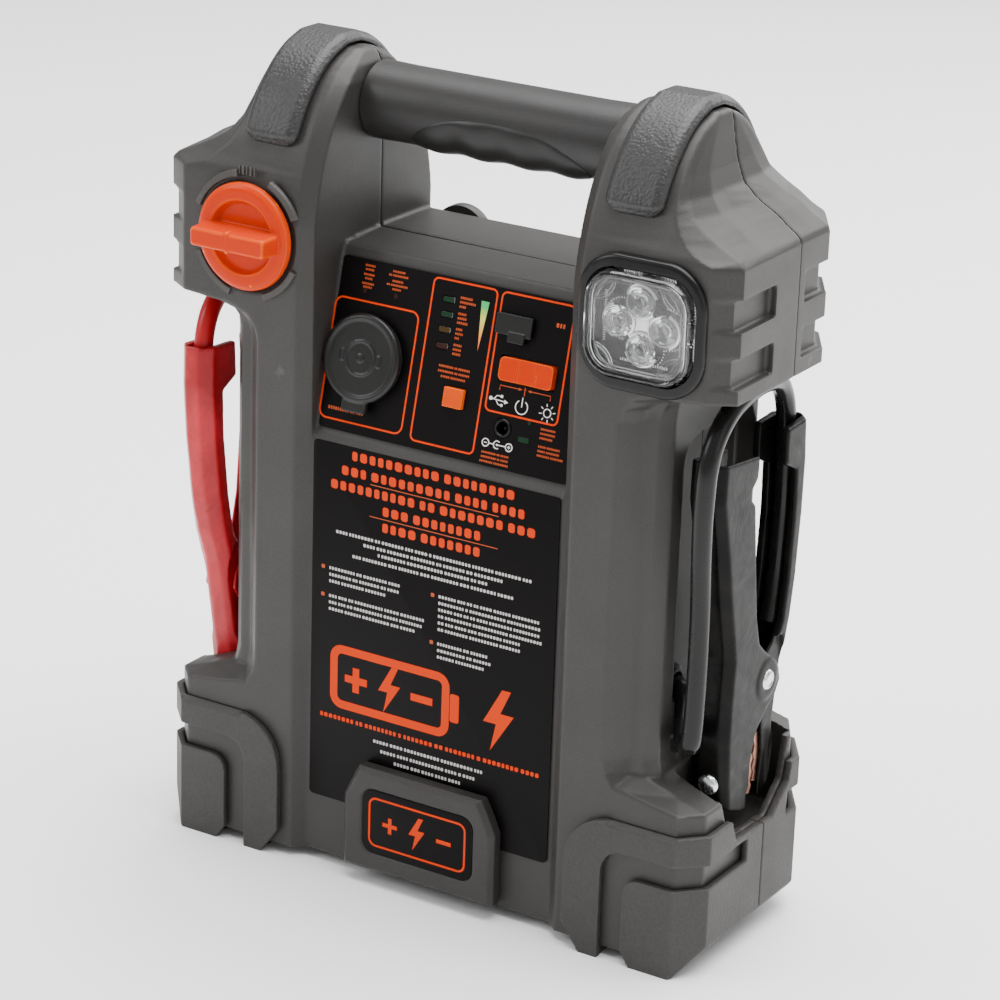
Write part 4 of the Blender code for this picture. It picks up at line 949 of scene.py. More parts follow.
for nm, s in (("left_arch_pad", -1), ("right_arch_pad", 1)):
    base_p, low_p, mid_p, top_p = (pad_path(o) for o in (0.9, 2.3, 4.1, PAD_T - 0.05))
    n = len(base_p)
    rings = []
    for k in range(n):
        d = min(k, n - 1 - k)
        inset = (4.4, 2.6, 1.2, 0.4)[d] if d < 4 else 0.0
        lift = (0.12, 0.42, 0.80, 1.0)[d] if d < 4 else 1.0
        ring = []
        x0_, x1_ = PAD_X[0] + inset, PAD_X[1] - inset
        for x, p in ((x0_, base_p), (x0_, low_p), (x0_ + 1.5, mid_p), (x0_ + 3.4, top_p), (x1_ - 3.4, top_p), (x1_ - 1.5, mid_p), (x1_, low_p), (x1_, base_p)):
            y = base_p[k][0] + (p[k][0] - base_p[k][0]) * lift
            z = base_p[k][1] + (p[k][1] - base_p[k][1]) * lift
            ring.append((x * s, y, z))
        rings.append(ring)
    pad = loft("vis_" + nm, rings)
    soften(pad, 0.55, 2, 90000)
    finish(pad, PAD_M, "housing", nm, slot="pad")

# ------------------------------------------------------------------ bumpers


def bumper(name, s, rear):
    y = -1 if rear else 1
    lift = 8.0 if rear else 0.0
    end = (SEAM_Y + SEAM + 0.2) if rear else (SEAM_Y - SEAM - 0.2)
    if rear:
        plan = [(69, 49.3), (118.3, 49.3), (128.8, 33.5), (128.8, end), (125.8, end),
                (125.8, 31.4), (117.6, 45.4), (112.2, 46.3), (69, 46.3)]
    else:
        plan = [(69, -49.3), (118.3, -49.3), (128.8, -38.5), (128.8, end), (125.8, end),
                (125.8, -37.4), (117.4, -46.3), (69, -46.3)]
    top = 60.3 + lift
    ob = prism("vis_" + name, plan, "z", 0, top, sx=s)
    yy = (30, 60) if rear else (-60, -34.9)
    zb, zk = 47.7 + lift, 38.0 + lift
    outer = [(69.01, zb - 9.5), (69.3, zb - 5.0), (70.4, zb - 0.9), (72.0, zb + 2.6), (74.4, zb + 5.7), (77.6, zb + 8.5),
             (81.5, zb + 10.7), (85.5, zb + 12.1), (90, top + 0.1)]
    cut(ob,
        prism("c", [(86, -1), (86, zb - 10), (86.6, zb - 6.4), (88, zb - 3.7), (90.6, zb - 1.2), (94, zb), (140, zb), (140, zk),
                    (103, zk), (100, zk - 0.6), (98, zk - 2), (96.6, zk - 4), (96, zk - 7), (96, -1)], "y", yy[0], yy[1], sx=s),
        prism("c", [(60, 90), (60, -5), (69.01, -5)] + outer + [(90, 90)], "y", yy[0], yy[1], sx=s),
        prism("c", [(60, -1), (78, -1), (69, 11.6), (60, 11.6)], "y", yy[0], yy[1], sx=s),
        prism("c", [(94, -1), (101, -1), (95.9, 6.5), (94, 6.5)], "y", yy[0], yy[1], sx=s),
        prism("c", [(118, -1), (135, -1), (135, 14), (128.9, 13)], "y", -60, 60, sx=s),
        prism("c", NOTCH_YZ, "x", 118, 140, sx=s))
    if rear:
        cut(ob, prism("c", [(24, zk), (31, zk), (31, zb), (24, zb)], "x", 118, 140, sx=s),
            prism("c", [(20, -1), (60, -1), (60, 30), (50, 17)], "x", 100, 140, sx=s))
    else:
        cut(ob, prism("c", [(-35.2, zk), (-8, zk), (-8, zb), (-35.2, zb)], "x", 118, 140, sx=s))
    # wide sloping top edge of the band
    zt = top
    if not rear:
        cut(ob, loft("c", [[(x, -60, zt - 9.4), (x, -45.6, zt + 0.6), (x, -45.6, zt + 9), (x, -60, zt + 9)] for x in (88 * s, 119.0 * s)]))
        join(ob, box("foot", (101, -46.6, 0), (112.5, -34, 3.7), sx=s), box("foot", (78.2, -46.6, 0), (85.8, -36, 3.7), sx=s))
    else:
        join(ob, box("foot", (78.2, 36.2, 0), (85.8, 46.6, 3.7), sx=s))
    soften(ob, 0.58, 3, 120000)
    for v in ob.data.vertices:
        if v.co.z < 0.0:
            v.co.z = 0.0
    finish(ob, BUMPER, "housing", name, slot="bumper")


bumper("front_left_bumper", -1, False)
bumper("front_right_bumper", 1, False)
bumper("rear_left_bumper", -1, True)
bumper("rear_right_bumper", 1, True)

# -------------------------------------------------------------------- badge
BADGE = [(-36.3, 6.5), (36.3, 6.5), (36.3, 38), (31, 49), (29.4, 51.8), (-29.4, 51.8), (-31, 49), (-36.3, 38)]
badge = loft("vis_badge_plate", [[(x, -BODY_FRONT - GAP - 0.8, z) for x, z in BADGE],
                                 [(x, -47.2, z) for x, z in BADGE],
                                 [(x * 0.945, -49.2, 29 + (z - 29) * 0.93) for x, z in BADGE]])
cut(badge, prism("c", round_rect(0, 29.0, 54.4, 29.4, 6, 8), "y", -60, -48.3))
soften(badge, 0.45, 3, 70000)
finish(badge, BADGE_M, "housing", "badge_plate", slot="bumper")
emblem = bevelled(prism("vis_badge_emblem", round_rect(0, 29.0, 53.4, 28.4, 5.6, 10), "y", -48.75, -48.0), 0.25, 2)
finish(emblem, LABEL_M, "housing", slot="label", angle=30)

# ------------------------------------------------------------------ labels
LABEL_XZ = round_rect(0, 107.5, 115, 155, 2.0, 6)
lab = bevelled(prism("vis_front_label", LABEL_XZ, "y", -BODY_FRONT - GAP - 0.5, -BODY_FRONT - GAP), 0.15, 2)
finish(lab, LABEL_M, "housing", "front_label", slot="label", angle=30)
PANEL_LABEL = round_rect(0, 35.75, 115.2, 69.1, 1.5, 6)
plab = panel_prism("vis_control_label", PANEL_LABEL, GAP, GAP + 0.5)
for c_ in CUTS:
    cut(plab, panel_prism("hole", c_, -3, 3))
for u, v in ((-45.8, 58), (-31.2, 58.3), (36.1, 14.4), (37.5, 21.3)):
    cut(plab, panel_prism("led", circle(u, v, 1.15, 20), 0.45, 3))
finish(plab, LABEL_M, "housing", "control_label", slot="label", angle=30)


class Ink:
    """Thin printed shapes laid on a flat face."""

    def __init__(self, place, n0, h=0.07):
        self.place, self.n0, self.h = place, n0, h
        self.v, self.f = [], []

    def poly(self, pts):
        b = len(self.v)
        n = len(pts)
        for k in (0, 1):
            self.v += [self.place(u, v, self.n0 + self.h * k) for u, v in pts]
        self.f.append(tuple(b + i for i in range(n)))
        self.f.append(tuple(b + n + i for i in reversed(range(n))))
        for i in range(n):
            k = (i + 1) % n
            self.f.append((b + i, b + k, b + n + k, b + n + i))
        return self

    def strip(self, pts, w, closed=False):
        """A line of width w along the points."""
        P = [Vector((p[0], p[1])) for p in pts]
        n = len(P)
        L, R = [], []
        for i in range(n):
            a = P[i - 1] if (i or closed) else P[0]
            c = P[(i + 1) % n] if (i < n - 1 or closed) else P[-1]
            d = (c - a)
            if d.length < 1e-9:
                d = Vector((1, 0))
            d.normalize()
            q = Vector((-d.y, d.x))
            k = 1.0
            if 0 < i < n - 1 or closed:
                d1 = (P[i] - a)
                if d1.length > 1e-9:
                    d1.normalize()
                    k = 1 / max(0.4, abs(Vector((-d1.y, d1.x)).dot(q)))
            L.append(P[i] + q * w / 2 * k)
            R.append(P[i] - q * w / 2 * k)
        m = n if closed else n - 1
        b = len(self.v)
        for i in range(n):
            for pt in (L[i], R[i]):
                for k in (0, 1):
                    self.v.append(self.place(pt.x, pt.y, self.n0 + self.h * k))
        for i in range(m):
            j = (i + 1) % n
            a0, a1, b0, b1 = b + 4 * i, b + 4 * i + 1, b + 4 * i + 2, b + 4 * i + 3
            c0, c1, d0, d1 = b + 4 * j, b + 4 * j + 1, b + 4 * j + 2, b + 4 * j + 3
            self.f += [(a1, b1, d1, c1), (a0, c0, d0, b0), (a0, a1, c1, c0), (b0, d0, d1, b1)]
        if not closed:
            e = b + 4 * (n - 1)
            self.f += [(b, b + 2, b + 3, b + 1), (e, e + 1, e + 3, e + 2)]
        return self

    def words(self, u, v, h, widths, gap=None, align="l", total=None):
        """A greeked line: one bar for each word."""
        gap = gap if gap is not None else h * 0.55
        tot = sum(widths) + gap * (len(widths) - 1)
        x = u if align == "l" else u - tot / 2
        for w in widths:
            self.poly(round_rect(x + w / 2, v, w, h, min(h, w) * 0.28, 2))
            x += w + gap
        return self

    def letters(self, u, v, h, counts, align="l", rng=None, wide=False):
        """A greeked line: one small plain block for each character."""
        rng = rng or random
        sp = h * (0.30 if wide else 0.27)
        lo, hi = (0.58, 0.84) if wide else (0.40, 0.60)
        ws = [[h * rng.uniform(lo, hi) for _ in range(c)] for c in counts]
        tot = sum(sum(w) + sp * (len(w) - 1) for w in ws) + (len(counts) - 1) * h * 0.62
        x = u if align == "l" else u - tot / 2
        for word in ws:
            for w in word:
                self.poly(round_rect(x + w / 2, v, w, h * 0.92, w * 0.22, 1))
                x += w + sp
            x += h * 0.62 - sp
        return self

    def build(self, name, mat, body="housing", slot="label"):
        me = bpy.data.meshes.new(name)
        me.from_pydata(self.v, [], self.f)
        ob = link(name, me)
        bm = bmesh.new()
        bm.from_mesh(me)
        bmesh.ops.recalc_face_normals(bm, faces=bm.faces)
        bm.to_mesh(me)
        bm.free()
        return finish(ob, mat, body, slot=slot, smooth=False)


def rounded(u0, u1, v0, v1, r, n=6):
    return round_rect((u0 + u1) / 2, (v0 + v1) / 2, u1 - u0, v1 - v0, r, n)


def plus(u, v, a, b):
    return [(u + x, v + y) for x, y in ((-b, a), (-b, b), (-a, b), (-a, -b), (-b, -b), (-b, -a), (b, -a), (b, -b), (a, -b), (a, b), (b, b), (b, a))]


def bolt(u, v, s):
    return [(u + x * s, v + y * s) for x, y in ((0.10, 1.0), (-0.52, -0.12), (-0.08, -0.12), (-0.26, -1.0), (0.52, 0.24), (0.06, 0.24), (0.40, 1.0))]


PN = GAP + 0.5
po = Ink(on_panel, PN)
po.strip(rounded(-58.2, -19.0, 5.2, 53.8, 3.4), 0.75, True)
po.strip(rounded(-14.5, 14.7, 4.3, 69.0, 2.2), 0.75, True)
po.strip(rounded(17.0, 49.6, 22.6, 69.0, 2.2), 0.75, True)
po.build("vis_panel_frames", INK_ORANGE)
ps = Ink(on_panel, PN)
for i, (u, v, c) in enumerate(((-44.6, 68.0, (7,)), (-44.6, 66.4, (6,)), (-44.6, 64.4, (7,)), (-44.6, 62.8, (5,)), (-44.6, 60.8, (8,)), (-44.6, 59.4, (6,)),
                               (-31.0, 67.8, (8,)), (-31.0, 66.2, (2, 10)), (-31.0, 64.0, (7,)), (-31.0, 62.4, (2, 11)), (-31.0, 60.8, (6,)))):
    ps.letters(u, v, 0.95, c, align="c")
for v0, cs in ((63.2, ((7,), (9,), (4,))), (56.9, ((5,), (5,), (6,))), (50.8, ((4,), (5,), (3,))), (44.6, ((5,), (5,), (5,)))):
    for i, c in enumerate(cs):
        ps.letters(-1.4, v0 - i * 1.75, 1.05, c)
for i, c in enumerate(((9, 2, 7), (9, 2, 7), (5, 9))):
    ps.letters(0.6, 35.6 - i * 2.0, 1.0, c, align="c")
for i, c in enumerate(((9,), (9,), (8,))):
    ps.letters(43.0, 20.2 - i * 1.75, 0.95, c)
for i, c in enumerate(((5, 8), (5, 8), (8, 8))):
    ps.letters(43.0, 13.4 - i * 1.75, 0.95, c)
for i, c in enumerate(((9, 2, 5), (9, 2, 5), (8, 9))):
    ps.letters(24.6, 6.4 - i * 1.75, 0.95, c, align="c")
ps.letters(-46.0, 9.6, 1.5, (9, 2, 3), align="c")
ps.letters(42.6, 60.6, 1.9, (3,))
# arrows from the rocker to its marks
ps.strip([(31.3, 33.3), (22.2, 33.3), (22.2, 31.4)], 0.35)
ps.strip([(33.4, 33.6), (33.4, 31.0)], 0.35)
ps.strip([(35.6, 33.3), (45.0, 33.3), (45.0, 31.4)], 0.35)
ps.poly([(30.6, 33.9), (32.2, 33.3), (30.6, 32.7)])
ps.poly([(36.2, 33.9), (34.7, 33.3), (36.2, 32.7)])
ps.poly([(32.9, 33.2), (33.4, 34.6), (33.9, 33.2)])
ps.build("vis_panel_print", INK_ORANGE_SOFT)
pw = Ink(on_panel, PN)
# USB-like branch mark kept generic: a plug outline
pw.strip([(18.6, 27.6), (25.2, 27.2)], 0.38)
pw.poly([(25.1, 28.0), (26.8, 27.1), (25.1, 26.3)])
pw.poly(circle(18.9, 27.6, 0.8, 16))
pw.strip([(20.2, 27.5), (21.6, 29.1), (23.2, 29.0)], 0.32)
pw.strip([(21.2, 27.4), (22.4, 25.7), (23.6, 25.6)], 0.32)
pw.poly(rounded(23.1, 24.2, 28.5, 29.6, 0.1, 1))
pw.poly(circle(24.0, 25.6, 0.6, 12))
arc = [(33.0 + 2.7 * math.sin(math.radians(a)), 26.6 + 2.7 * math.cos(math.radians(a))) for a in range(32, 329, 8)]
pw.strip(arc, 0.4)
pw.strip([(33.0, 26.6), (33.0, 30.4)], 0.4)
pw.strip(circle(44.6, 26.6, 1.6, 24), 0.4, True)
for k in range(8):
    t = math.radians(45 * k + 10)
    pw.strip([(44.6 + 2.5 * math.cos(t), 26.6 + 2.5 * math.sin(t)), (44.6 + 3.6 * math.cos(t), 26.6 + 3.6 * math.sin(t))], 0.35)
for cx in (19.6, 24.8, 30.2):
    if cx == 24.8:
        pw.strip([(cx + 1.5 * math.cos(math.radians(a)), 10.2 + 1.5 * math.sin(math.radians(a))) for a in range(50, 311, 12)], 0.4)
        pw.poly(circle(cx, 10.2, 0.45, 12))
    else:
        pw.strip(circle(cx, 10.2, 1.5, 20), 0.4, True)
        pw.strip([(cx - 0.7, 10.2), (cx + 0.7, 10.2)], 0.35)
    if cx == 30.2:
        pw.strip([(cx, 9.5), (cx, 10.9)], 0.35)
pw.strip([(21.1, 10.2), (23.3, 10.2)], 0.4)
pw.strip([(25.2, 10.2), (28.7, 10.2)], 0.4)
pw.build("vis_panel_icons", INK_WHITE)
Ink(on_panel, PN).poly([(8.1, 63.7), (11.7, 63.7), (9.7, 44.2)]).build("vis_panel_wedge", INK_WEDGE)
for i, (v, m_) in enumerate(zip(BARS_V, (INK_GREEN, INK_GREEN, INK_AMBER, INK_REDDARK))):
    Ink(on_panel, 1.03).poly(round_rect(-6.5, v, 5.0, 2.0, 0.4, 3)).build("vis_level_bar_%d" % i, m_)
Ink(on_panel, PN).poly(round_rect(36.1, 14.4, 4.6, 2.0, 0.4, 3)).poly(round_rect(37.5, 21.3, 1.6, 1.6, 0.7, 3)).build("vis_charge_lights", INK_GREEN)
Ink(on_panel, PN - 0.30, 0.06).poly(circle(-45.8, 58, 1.05, 20)).poly(circle(-31.2, 58.3, 1.05, 20)).build("vis_fault_lights", INK_REDDARK)

FN = GAP + 0.5
fo = Ink(on_front, FN)
TITLE = ((181.4, (10, 8)), (174.6, (3, 9, 4, 4)), (167.9, (10, 2, 7, 3)), (161.2, (3, 8)), (154.4, (4, 7)))
for v, c in TITLE:
    fo.letters(-1.0, v, 4.2, c, align="c", wide=True)
# main mark: a battery with a bolt, flanked by a plus and a minus
fo.strip(rounded(-46.0, 8.0, 73.4, 97.6, 4.0), 3.6, True)
fo.poly(rounded(10.1, 14.4, 79.4, 91.6, 1.0, 3))
fo.poly(bolt(-19.0, 85.5, 10.2))
fo.poly(plus(-35.2, 85.5, 5.4, 1.6))
fo.strip([(-8.6, 85.5), (1.8, 85.5)], 3.2)
fo.poly(bolt(33.0, 85.6, 13.6))
fo.letters(0, 67.0, 2.05, (8, 2, 8, 1, 7, 2, 7, 1, 8, 4), align="c", wide=True)
fo.build("vis_label_orange", INK_ORANGE)
fs = Ink(on_front, FN)
fs.strip([(-30, 157.9), (30, 157.9)], 0.35)
fs.strip([(-30, 171.3), (30, 171.3)], 0.35)
fs.build("vis_label_rules", INK_ORANGE_SOFT)
fw = Ink(on_front, FN)
for v, c in ((147.9, (4, 8, 2, 7, 3, 4, 1, 12, 7, 8, 3)), (144.9, (4, 3, 7, 8, 2, 7, 2, 9)), (142.1, (1, 8, 11, 8, 2, 3)),
             (139.0, (3, 8, 3, 7, 3, 9, 3, 8, 5))):
    fw.letters(0, v, 1.48, c, align="c", wide=True)
L1 = ((131.6, (9, 2, 8, 4)), (128.8, (8, 2, 7, 2, 4)), (126.0, (4, 8, 7)), (119.6, (3, 3, 2, 10, 5, 8)), (116.8, (3, 3, 2, 10, 5, 8)),
      (114.0, (5, 6, 9, 3, 5)))
for v, c in L1:
    fw.letters(-49.0, v, 1.40, c, wide=True)
L2 = ((131.6, (6, 3, 2, 2, 4, 6, 9)), (128.8, (9, 1, 12, 11)), (126.0, (5, 3, 2, 2, 4, 8, 9)), (123.2, (2, 9, 12, 11)),
      (120.4, (2, 3, 4, 3, 8, 6)), (117.6, (2, 8, 10, 7)), (111.4, (9, 2, 6)), (108.6, (9, 2, 6)), (105.8, (6, 10)))
for v, c in L2:
    fw.letters(3.4, v, 1.38, c, wide=True)
for v, c in ((61.4, (5, 4, 11, 10, 3)), (57.6, (5, 4, 11, 4, 1, 4)), (53.9, (5, 3, 4, 4, 4))):
    fw.letters(0, v, 1.52, c, align="c", wide=True)
fw.build("vis_label_white", INK_GREY)
fb = Ink(on_front, FN)
for u, v in ((-52.0, 131.6), (-52.0, 119.6), (0.6, 131.6), (0.6, 111.4)):
    fb.poly(rounded(u - 0.8, u + 0.8, v - 0.8, v + 0.8, 0.3, 2))
fb.build("vis_label_bullets", INK_ORANGE_SOFT)


def on_badge(u, v, n):
    return (u, -48.75 - n, v)


be = Ink(on_badge, 0.0)
be.strip(rounded(-23.0, 23.0, 18.6, 39.6, 3.2), 0.9, True)
be.poly(bolt(0.0, 29.1, 7.4))
be.poly(plus(-13.0, 29.1, 3.5, 0.85))
be.strip([(9.5, 29.1), (16.5, 29.1)], 1.7)
be.build("vis_badge_print", INK_ORANGE)

# -------------------------------------------------------------- power knob
kx, kz = KNOB_XZ
knob = revolve("vis_power_knob", [(0, -8), (5.0, -8), (5.0, 0.35), (KNOB_R - 0.6, 0.35), (KNOB_R, 0.8), (KNOB_R, 2.2), (KNOB_R - 0.5, 3.3), (KNOB_R - 1.8, 4.1),
                                  (KNOB_R - 3.4, 4.4), (15.6, 4.5), (15.0, 4.3), (14.4, 2.6), (13.6, 1.6), (0, 1.6)], (kx, -46, kz), (0, -1, 0), 160)
BAR = [(kx - 18.4, kz - 3.2), (kx - 18.0, kz - 3.9), (kx - 17.2, kz - 4.2), (kx + 17.2, kz - 4.2), (kx + 18.0, kz - 3.9), (kx + 18.4, kz - 3.2),
       (kx + 18.4, kz + 3.2), (kx + 18.0, kz + 3.9), (kx + 17.2, kz + 4.2), (kx - 17.2, kz + 4.2), (kx - 18.0, kz + 3.9), (kx - 18.4, kz + 3.2)]
bar = loft("bar", [[(x, -46.6, z) for x, z in BAR], [(kx + (x - kx) * 0.955, -59.5, kz + (z - kz) * 0.90) for x, z in BAR],
                   [(kx + (x - kx) * 0.93, -60.2, kz + (z - kz) * 0.72) for x, z in BAR]])
join(knob, bar)
join(knob, box("pointer", (kx - 0.55, -60.3, kz - 4.3), (kx + 0.55, -57.2, kz + 4.5)))
soften(knob, 0.38, 3, 120000)
finish(knob, ORANGE_M, "power_knob", "power_knob", slot="knob_orange")

# -------------------------------------------------------------------- lamp
lx, lz = LAMP_XZ


def rr_ring(w, h, r, y, n=12):
    return [(x, y, z) for x, z in round_rect(lx, lz, w, h, r, n)]


bez = loft("vis_lamp_bezel", [rr_ring(54.4, 52.6, 17, -44.5), rr_ring(54.4, 52.6, 17, -47.0), rr_ring(53.8, 52.0, 16.8, -48.0),
                              rr_ring(52.6, 50.8, 16.2, -48.6), rr_ring(50.4, 48.6, 15.2, -48.8)])
cut(bez, loft("c", [rr_ring(LAMP_W + 0.8, LAMP_H + 0.8, 12.4, -40), rr_ring(LAMP_W + 0.8, LAMP_H + 0.8, 12.4, -47.9),
                    rr_ring(LAMP_W + 2.0, LAMP_H + 2.0, 13.0, -48.6), rr_ring(LAMP_W + 2.2, LAMP_H + 2.2, 13.1, -60)]))
finish(bez, BLACK_SMOOTH, "housing", "lamp_bezel", slot="black_trim", angle=42)

lens = loft("vis_lamp_lens", [rr_ring(LAMP_W, LAMP_H, 12, -40.5), rr_ring(LAMP_W, LAMP_H, 12, -50.0), rr_ring(LAMP_W - 0.5, LAMP_H - 0.5, 11.8, -51.1),
                              rr_ring(LAMP_W - 1.6, LAMP_H - 1.6, 11.3, -51.9), rr_ring(LAMP_W - 3.4, LAMP_H - 3.4, 10.5, -52.15),
                              rr_ring(LAMP_W - 4.6, LAMP_H - 4.6, 9.9, -51.7)])
cut(lens, loft("c", [rr_ring(LAMP_W - 3.0, LAMP_H - 3.0, 10.5, -30), rr_ring(LAMP_W - 3.0, LAMP_H - 3.0, 10.5, -49.4), rr_ring(LAMP_W - 4.2, LAMP_H - 4.2, 9.9, -50.5)]))
finish(lens, CLEAR_M, "housing", "lamp_lens", slot="lens", angle=38)

CUPS = [(lx - 0.4, lz + 9.6), (lx + 10.2, lz - 0.3), (lx + 0.4, lz - 9.6), (lx - 10.2, lz + 0.3)]
plate = prism("vis_lamp_backplate", round_rect(lx, lz, LAMP_W - 4.1, LAMP_H - 4.1, 10.0, 8), "y", -42.3, -40.5)
for cx, cz in CUPS:
    cut(plate, revolve("cup", [(0, -2), (3.3, -2), (3.3, 8.5), (0, 8.5)], (cx, -40.5, cz), (0, -1, 0), 48))
finish(plate, BLACK_SMOOTH, "housing", slot="black_trim", angle=38)
refl = prism("vis_lamp_reflector", round_rect(lx, lz, 15, 15, 5, 6), "y", -45.6, -41.8)
for cx, cz in CUPS:
    join(refl, revolve("ring", [(0, -1.6), (7.7, -1.6), (7.7, 5.0), (7.4, 5.7), (6.9, 5.9), (0, 5.9)], (cx, -40.5, cz), (0, -1, 0), 64))
for k in range(4):
    t = math.radians(45 + 90 * k)
    cut(refl, revolve("fillet", [(0, -4), (4.4, -4), (4.4, 9), (0, 9)], (lx + 11.9 * math.cos(t), -40.5, lz + 11.4 * math.sin(t)), (0, -1, 0), 48))
for cx, cz in CUPS:
    cut(refl, revolve("cup", [(0, -2), (3.3, -2), (3.3, 1.2), (5.0, 3.2), (6.3, 5.4), (6.5, 8.5), (0, 8.5)], (cx, -40.5, cz), (0, -1, 0), 64))
finish(refl, SILVER_M, "housing", "lamp_reflector", slot="reflector", angle=38)
for i, (cx, cz) in enumerate(CUPS):
    o = revolve("vis_optic_%d" % i, [(0, 3.6), (2.3, 3.6), (3.0, 1.6), (3.2, 1.5), (6.0, 5.0), (6.3, 5.6), (6.3, 6.9), (6.0, 7.2), (5.2, 7.2), (4.9, 6.6), (2.4, 6.2), (2.2, 7.2), (1.2, 7.7), (0, 7.8)],
                (cx, -40.5, cz), (0, -1, 0), 64)
    finish(o, CLEAR_M, "housing", slot="lens", angle=45)
board = prism("vis_lamp_board", round_rect(lx, lz, LAMP_W - 5, LAMP_H - 5, 9, 6), "y", -40.1, -38.4)
for cx, cz in CUPS:
    join(board, revolve("led", [(0, -0.5), (2.6, -0.5), (2.6, 1.2), (1.9, 2.6), (0.9, 3.1), (0, 3.2)], (cx, -40.1, cz), (0, -1, 0), 24))
finish(board, WHITE_M, "housing", "lamp_led_board", slot="white_plastic", angle=35)
# moulded ribs inside the lens: frame lines and leaf shapes in the corners
ri = Ink(lambda u, v, n: (u, -49.9 - n, v), 0.0, 0.45)
ri.strip(round_rect(lx, lz, LAMP_W - 5.6, LAMP_H - 5.6, 9.2, 8), 0.5, True)
ri.strip(round_rect(lx, lz, LAMP_W - 8.2, LAMP_H - 8.2, 8.0, 8), 0.3, True)
for a in (45, 135, 225, 315):
    t = math.radians(a)
    c_ = Vector((lx + 20.0 * math.cos(t), lz + 18.4 * math.sin(t)))
    d = Vector((-math.sin(t), math.cos(t)))
    q = Vector((math.cos(t), math.sin(t)))
    for w in (2.6, 1.3):
        leaf = []
        for k in range(17):
            u = -1 + 2 * k / 16
            leaf.append(c_ + d * 6.4 * u * (1 if w > 2 else 0.78) + q * (w * (1 - u * u)))
        for k in range(1, 16):
            u = 1 - 2 * k / 16
            leaf.append(c_ + d * 6.4 * u * (1 if w > 2 else 0.78) - q * (w * (1 - u * u)))
        ri.strip([(p.x, p.y) for p in leaf], 0.40, True)
ri.build("vis_lens_ribs", RIB_M, slot="lens")
rs = Ink(lambda u, v, n: (u, -42.35 - n, v), 0.0, 0.3)
for s_ in (-1, 1):
    for k in range(22):
        o_ = -10.5 + k
        rs.strip([(lx + s_ * 18.4, lz + o_), (lx + s_ * 19.6, lz + o_)], 0.42)
        rs.strip([(lx + o_, lz + s_ * 16.3), (lx + o_, lz + s_ * 17.5)], 0.42)
for cx, cz in CUPS:
    for k in range(40):
        t = 2 * math.pi * k / 40
        p = Vector((cx + 8.4 * math.cos(t), cz + 8.4 * math.sin(t)))
        if (p - Vector((lx, lz))).length > 12.5:
            rs.strip([(p.x, p.y), (cx + 9.1 * math.cos(t), cz + 9.1 * math.sin(t))], 0.35)
rs.build("vis_lens_serrations", SILVER_M, slot="reflector")

# ------------------------------------------------------------- panel parts
cu, cv = CAP_UV
barrel = panel_revolve("vis_socket_barrel", [(11.0, 2.3), (16.8, 2.3), (17.2, 1.9), (17.2, 1.1), (12.8, 1.1), (12.8, -34),
                                             (3.0, -34), (3.0, -32), (11.0, -32)], cu, cv, 96)
finish(barrel, TRIM, "housing", "socket_barrel", slot="black_trim", angle=35)
contact = panel_revolve("vis_socket_contact", [(0, -37.5), (2.6, -37.5), (2.6, -32.0), (5.2, -31.5), (5.2, -29.5), (2.0, -27.5), (0, -27.5)], cu, cv, 48)
finish(contact, BRASS_M, "housing", "socket_contact", slot="brass", angle=35)
cap = panel_revolve("vis_socket_cap", [(0, 2.7), (9.4, 2.7), (9.2, -0.6), (10.0, -0.6), (10.2, 2.7), (17.2, 2.7), (17.8, 2.9), (18.0, 3.3), (18.0, 4.0),
                                       (17.7, 4.7), (17.1, 5.2), (16.3, 5.4), (15.6, 5.3), (15.0, 4.9), (14.4, 4.75), (0, 4.7)], cu, cv, 160)
tabp = rounded(cu - 5.9, cu + 5.9, 9.9, 17.0, 0.9, 4)
join(cap, panel_prism("tab", tabp, 2.7, 4.5), panel_prism("rib", rounded(cu + 4.4, cu + 5.6, 9.9, 14.4, 0.3, 2), 3.0, 5.3))
# raised generic mark: a plug socket ring with a pin
join(cap, panel_revolve("m", [(6.4, 4.4), (7.1, 4.4), (7.1, 5.05), (6.4, 5.05)], cu, cv, 96), panel_revolve("m", [(0, 4.4), (1.6, 4.4), (1.6, 5.05), (0, 5.05)], cu, cv, 48))
for a in (0, 180):
    t = math.radians(a)
    join(cap, panel_prism("m", rounded(cu + 8.6 * math.cos(t) - 0.9, cu + 8.6 * math.cos(t) + 0.9, cv - 2.2, cv + 2.2, 0.6, 3), 4.4, 5.05))
soften(cap, 0.30, 2, 110000)
finish(cap, CAP_M, "socket_cap", "socket_cap", slot="black_trim")

uu, uv = USB_UV
port = panel_prism("vis_usb_port", round_rect(uu, uv, 14.0, 6.4, 0.4, 4), -12.2, 0.4)
cut(port, panel_prism("c", round_rect(uu, uv, 12.6, 5.0, 0.3, 4), -10.5, 2))
finish(port, STEEL_M, "housing", "usb_port", slot="steel", angle=35)
flap = panel_prism("flap", rounded(16.9, 33.1, 53.0, 61.2, 0.7, 4), 1.1, 2.8)
join(flap, panel_prism("tab", rounded(23.2, 30.6, 50.4, 54.4, 0.5, 3), 1.4, 3.3))
flap.name = "vis_usb_flap"
soften(flap, 0.22, 2, 60000)
finish(flap, CAP_M, "usb_flap", "usb_flap", slot="black_trim")

